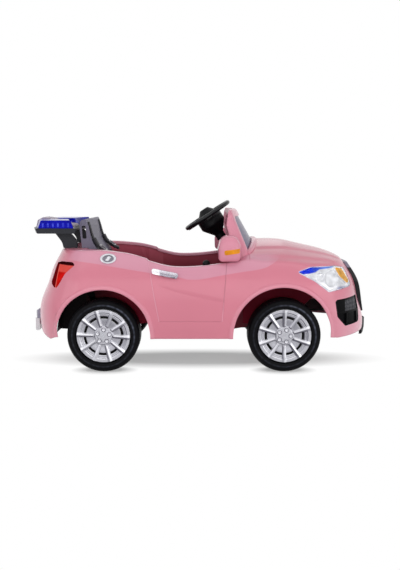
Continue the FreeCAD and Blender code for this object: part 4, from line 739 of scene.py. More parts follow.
def section(o, d, b, arch, start):
    """Each station's line: the upper surface from a start distance out to where it meets the flank,
    then the flank down to the arch or lower edge; with its length to that corner and in full."""
    n = len(o)
    rows_upper, rows_flank = 120, 160
    corner_z = halve(np.full((n, 1), 160.0), np.full((n, 1), 420.0), 36,
                     lambda z: ~(top(*ray(o, d, reach(o, d, z))) > z))
    foot_z = trim(b[:, 0:1])
    for _ in range(6):
        x = ray(o, d, reach(o, d, np.maximum(foot_z, 75)))[0]
        rise = np.sqrt(np.maximum(arch[:, 1:2] ** 2 - (x - arch[:, 0:1]) ** 2, 0.0))
        foot_z = np.where(arch[:, 1:2] > 0, AXLE_Z + rise, trim(x))
    end = reach(o, d, corner_z)
    x, y = ray(o, d, start + (end - start) * np.linspace(0, 1, rows_upper)[None])
    upper = points(x, y, top(x, y))
    z = corner_z + (foot_z - corner_z) * np.linspace(0, 1, rows_flank)[None]
    flank = points(*ray(o, d, reach(o, d, z)), z)
    line = np.concatenate([upper, flank[:, 1:]], 1)
    gap = np.linalg.norm(np.diff(line, axis=1), axis=2)
    return line, gap[:, :rows_upper - 1].sum(1), gap.sum(1)


def soften(line, corner, total, soft):
    """Rounds each line by diffusion along it, and gives its new lengths."""
    count, passes = 320, 90
    line = resample(line, count, 0 * total, total)
    gap = (total / (count - 1))[:, None, None]
    rate = np.minimum(soft ** 2 / (2 * passes * gap ** 2), 0.24)
    for _ in range(passes):
        line[:, 1:-1] += rate * (line[:, :-2] - 2 * line[:, 1:-1] + line[:, 2:])
    new = np.linalg.norm(np.diff(line, axis=1), axis=2).sum(1)
    return line, corner * (new / total), new


def relief(x, z):
    """Outward push of the flank: a band round each arch and the door's field over its fold."""
    push = np.zeros(x.shape)
    for middle, radius in ARCHES:
        rho = np.hypot(x - middle, z - AXLE_Z) - radius
        band = 3.2 * fall(9.5, 13.5, rho)
        band = band - 3.0 * fall(0.0, 3.0, rho) * step(AXLE_Z + 30, AXLE_Z + 60, z)
        push += np.where(rho < 20, band, 0.0)
    fold = 247 - (x + 113) * 0.24
    doorway = step(-118, -100, x) * fall(58, 70, x)
    return push + 1.6 * step(-4, 4, z - fold) * doorway * fall(262, 275, z)


def rolled_lip(o, d):
    """Upright edge of the opening and a quarter round from it onto the upper surface."""
    q = np.linspace(0, math.pi / 2, 6)[1:-1]
    x, y = ray(o, d, np.concatenate([[0, 0], LIP - LIP * np.cos(q)])[None])
    drop = np.concatenate([[-9.0, -LIP], -LIP + LIP * np.sin(q)])[None]
    return points(x, y, top(o[:, 0:1], o[:, 1:2]) + drop)


def flange(edge, d, b, arch):
    """Return of the lower edge: straight across the car at an arch, deeper over the wheel, and back
    along the station elsewhere."""
    on = arch[:, 1:2] > 0
    far = np.minimum(*(np.abs(np.abs(b[:, 0] - middle) - radius) for middle, radius in ARCHES))
    back = -d * np.stack([step(8, 60, far), np.ones(len(b))], 1)
    inward = np.where(on, np.array([[0.0, -1.0]]), back)
    spread = np.abs(b[:, 0] - arch[:, 0]) / np.maximum(arch[:, 1], 1.0)
    deep = 5.0 + np.where(b[:, 0] < 0, 73.0, 39.0) * fall(0.5, 0.75, spread)
    depth = np.where(on[:, 0], deep, 5.0 + 11.0 * step(6, 50, far))
    rows = np.repeat(edge, 3, 1)
    share = np.array([0.02, 0.3, 1.0])
    rows[..., :2] += (inward * depth[:, None])[:, None] * share[None, :, None]
    return rows


def body_patch(stations, lip, rows_top, rows_flank, soft):
    """Half-body surface over stations from inner points o to outline points b: at each one the
    rolled lip, the softened section with the flank's relief, and the return flange."""
    o, b, arch = stations
    d = unit(b - o)
    line, corner, total = soften(*section(o, d, b, arch, LIP if lip else 0.0), soft)
    upper = resample(line, rows_top, 0 * corner, corner)
    flank = resample(line, rows_flank, corner, total)
    flank[..., :2] += relief(flank[..., 0], flank[..., 2])[..., None] * d[:, None]
    rows = [upper, flank[:, 1:], flange(flank[:, -1:], d, b, arch)]
    if lip:
        rows.insert(0, rolled_lip(o, d))
    return np.concatenate(rows, 1)


def outline_at(x):
    """Outline in plan at the places x."""
    return np.stack([x, half_width(x, np.full_like(x, PLAN_Z))], 1)


def corner_line(start, level):
    """Corner of the outline in plan, from the flank round to the middle of an end."""
    end = spline(LEVEL_Z, level, PLAN_Z)
    half = spline(LEVEL_Z, LEVEL_HALF, PLAN_Z)
    return np.stack([start + (end - start) * CORNER_X, half * CORNER_Y], 1)


def arch_x(arch, start, end, count):
    """Stations spread evenly by angle round an arch, so that they crowd where it stands upright."""
    a, b = (math.acos(np.clip((x - arch[0]) / arch[1], -1, 1)) for x in (start, end))
    return arch[0] + arch[1] * np.cos(np.linspace(a, b, count))


def rear_stations():
    """Inner and outer points from the tail's middle to the cowl, with the arch each one ends on."""
    curve = corner_line(TAIL_START, LEVEL_TAIL)[::-1]
    first = along(curve[curve[:, 0] < REAR_ENDS[0] - 0.3], 40)
    back = outline_at(arch_x(REAR_ARCH, REAR_ENDS[0], FAN_X, 46))
    fore = outline_at(arch_x(REAR_ARCH, FAN_X, REAR_ENDS[1], 34)[1:])
    door = outline_at(np.linspace(REAR_ENDS[1] + 0.3, FRONT_ENDS[0] - 0.4, 58))
    arch = outline_at(arch_x(FRONT_ARCH, FRONT_ENDS[0], COWL_X, 24))
    outer = np.concatenate([first, back, fore, door, arch])
    edge = along(rounded(OPENING, 2.0, False), 900)
    side = edge[(edge[:, 1] > 60) | (edge[:, 0] < -200)]
    fan = len(first) + len(back)
    stop = np.argmax(side[:, 0] >= FAN_X)
    flank = side[stop:]
    flank = flank[flank[:, 0] < COWL_X - 0.1]
    x = outer[fan:, 0]
    inner = np.concatenate([along(side[:stop + 1], fan),
                            np.stack([x, np.interp(x, *flank.T)], 1)])
    ends = np.zeros((len(outer), 2))
    ends[len(first):fan + len(fore)] = REAR_ARCH
    ends[-len(arch):] = FRONT_ARCH
    return inner, outer, ends


def front_stations():
    """Inner points on the bonnet's centre line and outer points from the cowl to the nose's middle,
    with the arch each one ends on."""
    arch = outline_at(arch_x(FRONT_ARCH, COWL_X, FRONT_ENDS[1], 74))
    curve = corner_line(NOSE_START, LEVEL_NOSE)
    outer = np.concatenate([arch, along(curve[curve[:, 0] > FRONT_ENDS[1] + 0.3], 56)])
    start = np.searchsorted(outer[:, 0], 236.0)
    x = np.concatenate([outer[:start, 0], np.linspace(236.0, 405.0, len(outer) - start)])
    ends = np.zeros((len(outer), 2))
    ends[:len(arch)] = FRONT_ARCH
    return np.stack([x, np.zeros_like(x)], 1), outer, ends


def signed(points, loop):
    """Distance of points to a closed loop, negative inside, and the nearest point of the loop."""
    a = loop
    b = np.roll(loop, -1, 0)
    ab = b - a
    t = np.clip(((points[:, None] - a) * ab).sum(-1) / (ab ** 2).sum(-1), 0, 1)
    near = a + ab * t[..., None]
    gap = np.linalg.norm(points[:, None] - near, axis=2)
    k = gap.argmin(1)
    x, y = points[:, 0:1], points[:, 1:2]
    meet = ab[:, 0] * (y - a[:, 1]) / (ab[:, 1] + 1e-12) + a[:, 0]
    cross = ((a[:, 1] > y) != (b[:, 1] > y)) & (x < meet)
    inside = cross.sum(1) % 2 == 1
    i = np.arange(len(points))
    return np.where(inside, -gap[i, k], gap[i, k]), near[i, k]


def cut_hole(verts, faces, corners, from_side, keep):
    """Removes the faces inside an outline; the points just inside move onto it for a clean edge."""
    loop = rounded(corners, 1.5)
    axes = (0, 2) if from_side else (1, 2)
    flat = verts[:, axes]
    box = (flat >= loop.min(0) - 12).all(1) & (flat <= loop.max(0) + 12).all(1) & keep(verts)
    index = np.flatnonzero(box)
    gap = np.full(len(verts), 1.0)
    near = flat.copy()
    gap[index], near[index] = signed(flat[index], loop)
    inside = gap < 0
    count = inside[faces].sum(1)
    edge = np.unique(faces[(count > 0) & (count < 4)])
    edge = edge[inside[edge]]
    verts = verts.copy()
    verts[np.ix_(edge, axes)] = near[edge]
    x, y, z = verts[edge].T
    if from_side:
        verts[edge, 1] = half_width(x, z) * np.sign(y)
    else:
        verts[edge, 0] = nose_x(y, z)
    return verts, faces[count < 4]


def fill(corners, pitch):
    """Points and quads of a square grid trimmed to a rounded outline; each one's edge distance."""
    loop = rounded(corners, 1.0)
    low = loop.min(0) - pitch
    nu, nv = (np.ceil((loop.max(0) - low + pitch) / pitch) + 1).astype(int)
    a, b = np.meshgrid(low[0] + pitch * np.arange(nu), low[1] + pitch * np.arange(nv),
                       indexing="ij")
    flat = np.stack([a, b], -1).reshape(-1, 2)
    gap, near = signed(flat, loop)
    faces = grid_faces(nu, nv)
    faces = faces[(gap < 0)[faces].any(1)]
    used = np.unique(faces)
    out = used[gap[used] >= 0]
    flat[out] = near[out]
    gap[out] = 0.0
    return flat, faces, -gap


def flank_piece(name, corners, pitch, depth, *paint, marks=None, nodes=()):
    """Piece of both flanks: a trimmed grid laid on the flank and sunk by a depth; depth and marks
    are functions of the place and its distance to the edge."""
    flat, faces, edge = fill(corners, pitch)
    x, z = flat.T
    verts = points(x, depth(x, z, edge) - half_width(x, z), z)
    marks = marks and marks(x, z, edge)
    return make(name, mirrored(verts, faces), *paint, marks=marks, nodes=nodes)


class RIDEON_PG_look(bpy.types.PropertyGroup):
    """Sizes and colours of the dressed car."""
    body_colour: bpy.props.FloatVectorProperty(
        name="Body colour", description="Display colour of the shell, 0 to 255", size=3,
        default=(214, 128, 146), min=0, max=255)
    shoulder: bpy.props.FloatProperty(
        name="Shoulder softness",
        description="Spread of the rounding between flank and top, in millimetres",
        default=6.0, min=1.0, max=20.0)
    camera_distance: bpy.props.FloatProperty(
        name="Camera distance", description="From the middle plane to the camera", default=2.2,
        unit="LENGTH")
    camera_height: bpy.props.FloatProperty(
        name="Camera height", description="Height of the camera over the floor", default=0.493,
        unit="LENGTH")
    camera_tilt: bpy.props.FloatProperty(
        name="Camera tilt", description="Downward tilt of the camera",
        default=math.radians(7.25), subtype="ANGLE")
    camera_lens: bpy.props.FloatProperty(
        name="Camera lens",
        description="Focal length for a 36 mm sensor along the tall side, in millimetres",
        default=44.7)
    tread_lugs: bpy.props.IntProperty(
        name="Tread lugs", description="Lugs round each tyre", default=34)


class RIDEON_OT_paint(bpy.types.Operator):
    """Builds the materials and gives each shown node the one of its slot, with eased edges."""
    bl_idname = "rideon.paint"
    bl_label = "Paint nodes"

    def execute(self, context):
        build_materials(context.scene.rideon)
        slots = {part["node"]: part["material_slot"] for part in frame["record"]["subparts"]}
        for name, node in frame["nodes"].items():
            node.data.materials.clear()
            node.data.materials.append(MATERIALS[NODE_PAINT.get(name, slots[name])])
            weld = node.modifiers.new("weld", "WELD")
            weld.merge_threshold = NODE_WELD
            bevel = node.modifiers.new("edges", "BEVEL")
            bevel.width = EDGE_WIDTH
            bevel.segments = 2
            bevel.limit_method = "ANGLE"
            bevel.angle_limit = EDGE_ANGLE
            bevel.harden_normals = False
        return {"FINISHED"}


class RIDEON_OT_shell(bpy.types.Operator):
    """Builds the moulded body shell with its arches, lips, bonnet steps and lamp openings."""
    bl_idname = "rideon.shell"
    bl_label = "Body shell"

    def execute(self, context):
        soft = context.scene.rideon.shoulder
        rows_bonnet, rows_flank = 52, 56
        rear = body_patch(rear_stations(), True, 18, rows_flank, soft)
        front = body_patch(front_stations(), False, rows_bonnet, rows_flank, soft)
        skirt = front[:1, :rows_bonnet].repeat(3, 0)
        skirt[:, :, 2] -= SKIRT_DROP[:, None]
        verts, faces = stack((rear, front, skirt))
        for corners in (HEADLAMP, FOG_VENT, TAIL_LAMP):
            verts, faces = cut_hole(verts, faces, corners, True, self.on_flank)
        verts, faces = cut_hole(verts, faces, GRILLE, False, lambda v: v[:, 0] > GRILLE_FROM_X)
        make("shell", mirrored(verts, faces), "body_pink", weld=0.25, nodes=("body_shell",))
        return {"FINISHED"}

    def on_flank(self, verts):
        return np.abs(verts[:, 1]) > half_width(verts[:, 0], verts[:, 2]) - 6


class RIDEON_OT_wells(bpy.types.Operator):
    """Builds the liners inside the four wheel arches; their dark red, going black toward the rear,
    is painted shade.
    """
    bl_idname = "rideon.wells"
    bl_label = "Wheel wells"

    def execute(self, context):
        grids = []
        for arch, inner, walls in WELLS:
            grids.append(self.tunnel(arch, inner, (walls[0][0], walls[-1][1])))
            grids += [self.wall(arch, inner, turns) for turns in walls]
        make("wheel_wells", mirrored(*stack(grids)), "tub_rose", "well_dark")
        return {"FINISHED"}

    def wall(self, arch, y, turns):
        """Flat wall inside an arch: radius by angle, in degrees from the nose upward."""
        t = np.radians(np.linspace(*turns, 40))[:, None]
        r = np.linspace(arch[1] + 1, WELL_HUB, 6)[None]
        return points(arch[0] + r * np.cos(t), y, AXLE_Z + r * np.sin(t))

    def tunnel(self, arch, inner, turns):
        """Face of an arch from just inside the flank to the inner wall: angle by depth."""
        t = np.radians(np.linspace(*turns, 60))[:, None]
        x = arch[0] + (arch[1] + 1) * np.cos(t)
        z = AXLE_Z + (arch[1] + 1) * np.sin(t)
        outer = np.minimum(WHEEL_FACE, half_width(x, z) - 5.0)
        y = inner + (outer - inner) * np.linspace(1, 0, 8)[None]
        return points(x, y, z)


class RIDEON_OT_headlamps(bpy.types.Operator):
    """Builds the metallised lamp trays with bowls, blue brow and amber insert, the clear covers and
    the amber strips of the mirrors."""
    bl_idname = "rideon.headlamps"
    bl_label = "Headlamps"

    def execute(self, context):
        flank_piece("headlamp_trays", HEADLAMP, 1.2, self.tray, "lamp_silver", "lamp_tray",
                    marks=self.marks, nodes=("headlamp_bowls",))
        cover = flank_piece("headlamp_covers", HEADLAMP, 3.0, self.cover, "clear_lens",
                            nodes=("headlamp_lenses",))
        thicken(cover, COVER_WALL)
        make("turn_strips", mirrored(*self.strip()), "amber_lens", nodes=("turn_lenses",))
        return {"FINISHED"}

    def cover(self, x, z, edge):
        """Depth: nearly flush at the edge, domed a little outward within it."""
        return 0.2 - 1.2 * step(0, 8, edge)

    def marks(self, x, z, edge):
        """Where the tray is amber, blue, pale blue, bright at its edge and violet at its foot."""
        field = step(1.2, 2.6, edge)
        return {"amber": step(-0.4, 0.6, self.insert(x, z)),
                "blue": step(-1.0, 1.0, z - np.interp(x, BROW_X, BROW_Z)) * field,
                "pale": step(300, 380, x), "edge": 1 - field,
                "low": fall(230, 238, z) * step(380, 396, x)}

    def insert(self, x, z):
        """Distance inside the amber insert's outline."""
        return -signed(np.stack([x, z], -1), rounded(TURN_STRIP, 1.0))[0]

    def tray(self, x, z, edge):
        """Depth: a sunk field with two round bowls, raised round the insert and sunk within it."""
        d = 4.0 + 4.0 * step(1.5, 5.0, edge)
        for mid_x, mid_z, radius, deep in BOWLS:
            inside = np.clip(1 - np.hypot(x - mid_x, z - mid_z) / radius, 0, 1)
            d = d + deep * np.sqrt(np.clip(1 - (1 - inside) ** 2, 0, 1)) * (inside > 0)
        amber = self.insert(x, z)
        return d - 5.0 * step(-2.8, -1.2, amber) + 1.6 * step(-0.2, 1.2, amber)

    def strip(self):
        """Rounded strip laid on the mirror pod: the pod's power curve read at each point."""
        flat, faces, edge = fill(STRIP, 1.0)
        x, z = flat.T
        loop = along(rounded(MIRROR, 1.0), 140, True) - POD_MID
        turn = np.arctan2(z - POD_MID[1], x - POD_MID[0])
        full = np.interp(turn, np.arctan2(loop[:, 1], loop[:, 0]), np.hypot(*loop.T),
                         period=2 * math.pi)
        share = np.clip(np.hypot(x - POD_MID[0], z - POD_MID[1]) / full, 0, 0.97)
        depth = (1 - share ** (1 / POD_SIDE)) ** (1 / POD_POWER)
        y = -(POD_Y + POD_DEPTH * depth + 1.8 * step(0, 3.0, edge) - 1.2)
        return points(x, y, z), faces


class RIDEON_OT_vents(bpy.types.Operator):
    """Builds the black vents: a frame with a meshed upper pocket and two plain lower ones."""
    bl_idname = "rideon.vents"
    bl_label = "Vents"

    def execute(self, context):
        flank_piece("vent_panels", FOG_VENT, 0.8, self.depth, "black_plastic", "vent_black",
                    marks=lambda *place: {"mesh": self.mesh(*place)}, nodes=("fog_vents",))
        return {"FINISHED"}

    def bars(self, x, z):
        """1 on the level bar, the upright under it and the front edge."""
        lower = fall(160, 163, z)
        level = fall(1.6, 3.0, np.abs(z - 161.5))
        upright = fall(1.4, 2.8, np.abs(x - 418.5)) * lower
        return np.maximum(np.maximum(level, upright), step(452.0, 454.0, x) * lower)

    def mesh(self, x, z, edge):
        """1 on the slanted wires: two crossed cosine waves within the upper pocket."""
        wires = np.maximum(np.cos((x + z) * 2.1), np.cos((x - z) * 2.1))
        return step(0.55, 0.9, wires) * step(413, 416, x) * step(164, 166, z) * step(5, 7, edge)

    def depth(self, x, z, edge):
        """Depth: pockets between the frame and the bars, with the wires raised in them."""
        pocket = 1 - np.maximum(fall(2.2, 4.2, edge), self.bars(x, z))
        return 0.6 + 6.5 * pocket - 1.6 * self.mesh(x, z, edge) * pocket


class RIDEON_OT_tail_lamps(bpy.types.Operator):
    """Builds the tail lamps: an upright ridge with a painted highlight, between an outer facet
    painted dark as shade and a brighter inner one.
    """
    bl_idname = "rideon.tail_lamps"
    bl_label = "Tail lamps"

    def execute(self, context):
        flank_piece("tail_lenses", TAIL_LAMP, 0.9, self.depth, "red_lens", "tail_red",
                    marks=self.marks, nodes=("tail_lamps",))
        return {"FINISHED"}

    def marks(self, x, z, edge):
        """Where the lens is painted dark as shade outside the ridge, has a painted highlight on it,
        and is coral and maroon at the top.
        """
        off = self.ridge(x, z)
        return {"outer": fall(-2.0, -0.6, off), "ridge": 0.8 * fall(0.6, 2.0, np.abs(off)),
                "coral": step(276, 281, z),
                "brow": step(-0.8, 0.8, z - (298.2 - 0.02 * (x + 409)))}

    def ridge(self, x, z):
        """Distance ahead of the slanted ridge line."""
        return x - (-407.0 + (z - 233.0) * 9.0 / 64.0)

    def depth(self, x, z, edge):
        """Depth: a sunk field that rises to the ridge from both sides."""
        rise = 3.4 * fall(0, 14, np.abs(self.ridge(x, z))) * step(0, 6, edge)
        return 0.8 + 2.6 * step(0.0, 2.5, edge) - rise


def power_round(turn, power_a, power_b):
    """Cosine and sine drawn out toward a square by powers under one."""
    c, d = np.cos(turn), np.sin(turn)
    return np.sign(c) * np.abs(c) ** power_a, np.sign(d) * np.abs(d) ** power_b


class RIDEON_OT_belts(bpy.types.Operator):
    """Builds the webbing straps over the seat back, with their pads, and the slide buckles."""
    bl_idname = "rideon.belts"
    bl_label = "Seat belts"

    def execute(self, context):
        straps = [self.ribbon(path, *size, y) for y in BELT_Y
                  for path, size in ((BELT, BELT_SIZE), (BELT_PAD, PAD_SIZE))]
        make("belt_webbing", stack(straps, wrap_v=True), "belt_web", weld=0.001,
             nodes=("seat_belts",))
        buckles = [self.buckle(y) for y in BELT_Y]
        make("belt_buckles", stack(buckles, True, True), "belt_web", "buckle")
        return {"FINISHED"}

    def ribbon(self, path, half, thick, centre_y):
        """Flat strap: a rounded rectangular section carried along a path seen from the side, with
        both ends drawn to a point."""
        count = 60
        p = along(np.array(path, float), count)
        for _ in range(12):
            p[1:-1] = (p[:-2] + 2 * p[1:-1] + p[2:]) / 4
        t = unit(np.gradient(p, axis=0))
        w, h = power_round(circle(28), 0.25, 0.6)
        shut = np.ones((count, 1))
        shut[[0, -1]] = 0.0
        up = thick / 2 * h * shut
        return points(p[:, 0:1] + t[:, 1:2] * up, centre_y + half * w * shut,
                      p[:, 1:2] - t[:, 0:1] * up)

    def buckle(self, y):
        """Slide frame: a flattened round tube carried along a rounded rectangle on the strap."""
        loop = along(rounded(BUCKLE, 1.0), 96, True)
        t = unit(np.roll(loop, -1, 0) - np.roll(loop, 1, 0))
        turn = circle(16)[None]
        out = 3.4 * np.cos(turn)
        up = 1.8 * np.sin(turn) + 2.2
        u = loop[:, :1] + t[:, 1:] * out
        v = loop[:, 1:] - t[:, :1] * out
        c, s = math.cos(BUCKLE_LEAN), math.sin(BUCKLE_LEAN)
        return points(BUCKLE_X + u * c + up * s, y + v, BUCKLE_Z - u * s + up * c)


class RIDEON_OT_fuel_flap(bpy.types.Operator):
    """Builds the oval fuel flap on the right shoulder: a height over the flank by radius and angle,
    with a bright ring, a fluted dish and a plain grip bar."""
    bl_idname = "rideon.fuel_flap"
    bl_label = "Fuel flap"

    def execute(self, context):
        rings, turns = 40, 120
        r = np.linspace(0, 1.0, rings)[None]
        turn = circle(turns)[:, None]
        u, v = r * np.cos(turn), r * np.sin(turn)
        ring = step(0.66, 0.72, r) * (1 - step(0.93, 1.0, r) ** 2)
        grip = fall(0.2, 0.28, np.abs(u - 0.45 * v)) * fall(0.42, 0.56, np.hypot(u, v))
        flute = 0.4 * np.cos(14 * turn) * step(0.3, 0.4, r) * fall(0.58, 0.64, r)
        height = 0.6 + 2.6 * ring + 2.0 * grip + flute - 1.0 * step(0.96, 1.0, r)
        x = FLAP_MID[0] + FLAP_HALF[0] * u
        z = FLAP_MID[1] + FLAP_HALF[1] * v
        verts = points(x, -(half_width(x, z) + height), z).reshape(-1, 3)
        faces = grid_faces(turns, rings, True)[:, ::-1]
        inner = fall(0.64, 0.7, r) * (1 - grip)
        make("fuel_flap", (verts, faces), "chrome_trim", "flap", weld=0.001,
             marks={"inner": inner.reshape(-1)}, nodes=("fuel_cap",))
        return {"FINISHED"}


def screen_x(y, z):
    """Front of the windscreen: a straight lean along its sides plus a parabolic bow between."""
    t = (z - SCREEN_FOOT_Z) / (SCREEN_TOP_Z - SCREEN_FOOT_Z)
    edge, half, bow = (a + (b - a) * t for a, b in (SCREEN_EDGE, SCREEN_HALF, SCREEN_BOW))
    return edge + bow * (1 - (y / half) ** 2)


def screen_foot(y):
    """Place and height where the windscreen meets the cowl, by repeated steps from face to cowl."""
    z = 350.0 + 0 * y
    for _ in range(12):
        z = 0.5 * z + 0.5 * top(screen_x(y, z), y)
    return screen_x(y, z), z


class RIDEON_OT_windscreen(bpy.types.Operator):
    """Builds the bowed screen: pillars and header, a rail along the cowl and the pane."""
    bl_idname = "rideon.windscreen"
    bl_label = "Windscreen"

    def execute(self, context):
        turn = circle(64)
        make("screen_frame", stack((self.arch(turn)[::-1], self.rail(turn)), wrap_v=True),
             "body_pink", "frame_pink", weld=0.01, nodes=("windscreen_frame",))
        pane = make("screen_pane", stack((self.pane(),)), "smoked_pane",
                    nodes=("windscreen_pane",))
        thicken(pane, PANE_WALL)
        return {"FINISHED"}

    def pane(self):
        """Sheet just behind the screen's front, from the cowl to the header: width by height."""
        y = np.linspace(-1, 1, 61)[:, None]
        foot = screen_foot(y * PANE_HALF)[1] - 3
        z = foot + (PANE_TOP_Z - foot) * np.linspace(0, 1, 41)[None]
        low, high = SCREEN_HALF
        y = y * (low + (high - low) * (z - SCREEN_FOOT_Z) / (SCREEN_TOP_Z - SCREEN_FOOT_Z) - 11)
        return points(screen_x(y, z) - 6, y, z)

    def arch(self, turn):
        """Rounded section carried up one pillar, over the header and down the other; deeper toward
        the feet, with a groove along its outer face and both ends drawn to a point."""
        count = 220
        path = along(rounded(SCREEN_PATH, 1.0, False), count)
        way = unit(np.gradient(path, axis=0))
        out = np.stack([-way[:, 1], way[:, 0]], 1)
        size = np.concatenate([[0], np.ones(count), [0]])[:, None]
        pick = np.concatenate([[0], np.arange(count), [count - 1]])
        path, out = path[pick], out[pick]
        depth = np.interp(path[:, 1], PILLAR_Z, PILLAR_DEPTH)[:, None]
        c, d = power_round(turn, 0.55, 0.55)
        back = -depth / 2 + depth / 2 * d[None] * size
        groove = 1.6 * np.exp(-((back / depth + 0.42) / 0.06) ** 2) * (c > 0.5)[None]
        inward = 10.5 - 10.5 * c[None] * size + groove
        y = path[:, :1] - out[:, :1] * inward
        z = path[:, 1:] - out[:, 1:] * inward
        return points(screen_x(y, z) + back, y, z)

    def rail(self, turn):
        """Oval bead along the line where the screen meets the cowl, pointed at both ends."""
        y = np.linspace(-RAIL_HALF, RAIL_HALF, 120)[:, None]
        x, z = screen_foot(y)
        size = np.sqrt(np.clip(1 - np.abs(y / RAIL_HALF) ** 16, 0, 1))
        return points(x + 1 + 9 * np.cos(turn) * size, y, z + 1.5 + 7 * np.sin(turn) * size)


class RIDEON_OT_mirrors(bpy.types.Operator):
    """Builds the mirror pods, the side outline drawn in toward the outer end by a steep power
    curve, and their bright plates."""
    bl_idname = "rideon.mirrors"
    bl_label = "Mirror pods"

    def execute(self, context):
        around, closing = 140, 8
        loop = along(rounded(MIRROR, 1.0), around, True) - POD_MID
        depth = 1 - np.linspace(1, 0, 44) ** 2
        size = (1 - depth ** POD_POWER) ** POD_SIDE
        size = np.concatenate([np.linspace(0, 1, closing)[:-1], size])
        out = np.concatenate([np.zeros(closing - 1), depth])
        flat = POD_MID + loop[:, None] * size[None, :, None]
        y = -(POD_Y + POD_DEPTH * out)
        verts = points(flat[..., 0], y, flat[..., 1]).reshape(-1, 3)
        faces = grid_faces(around, len(size), wrap_u=True)[:, ::-1]
        make("mirror_pods", mirrored(verts, faces), "body_pink", "frame_pink", weld=0.01,
             nodes=("mirror_housings",))
        flat, faces, edge = fill(MIRROR_PLATE, 1.5)
        y, z = flat.T
        x = np.interp(z, *POD_BACK) - 0.9 * step(0, 2, edge) + 0.3
        make("mirror_plates", mirrored(points(x, y, z), faces[:, ::-1]), "mirror_plate",
             nodes=("mirror_glasses",))
        return {"FINISHED"}


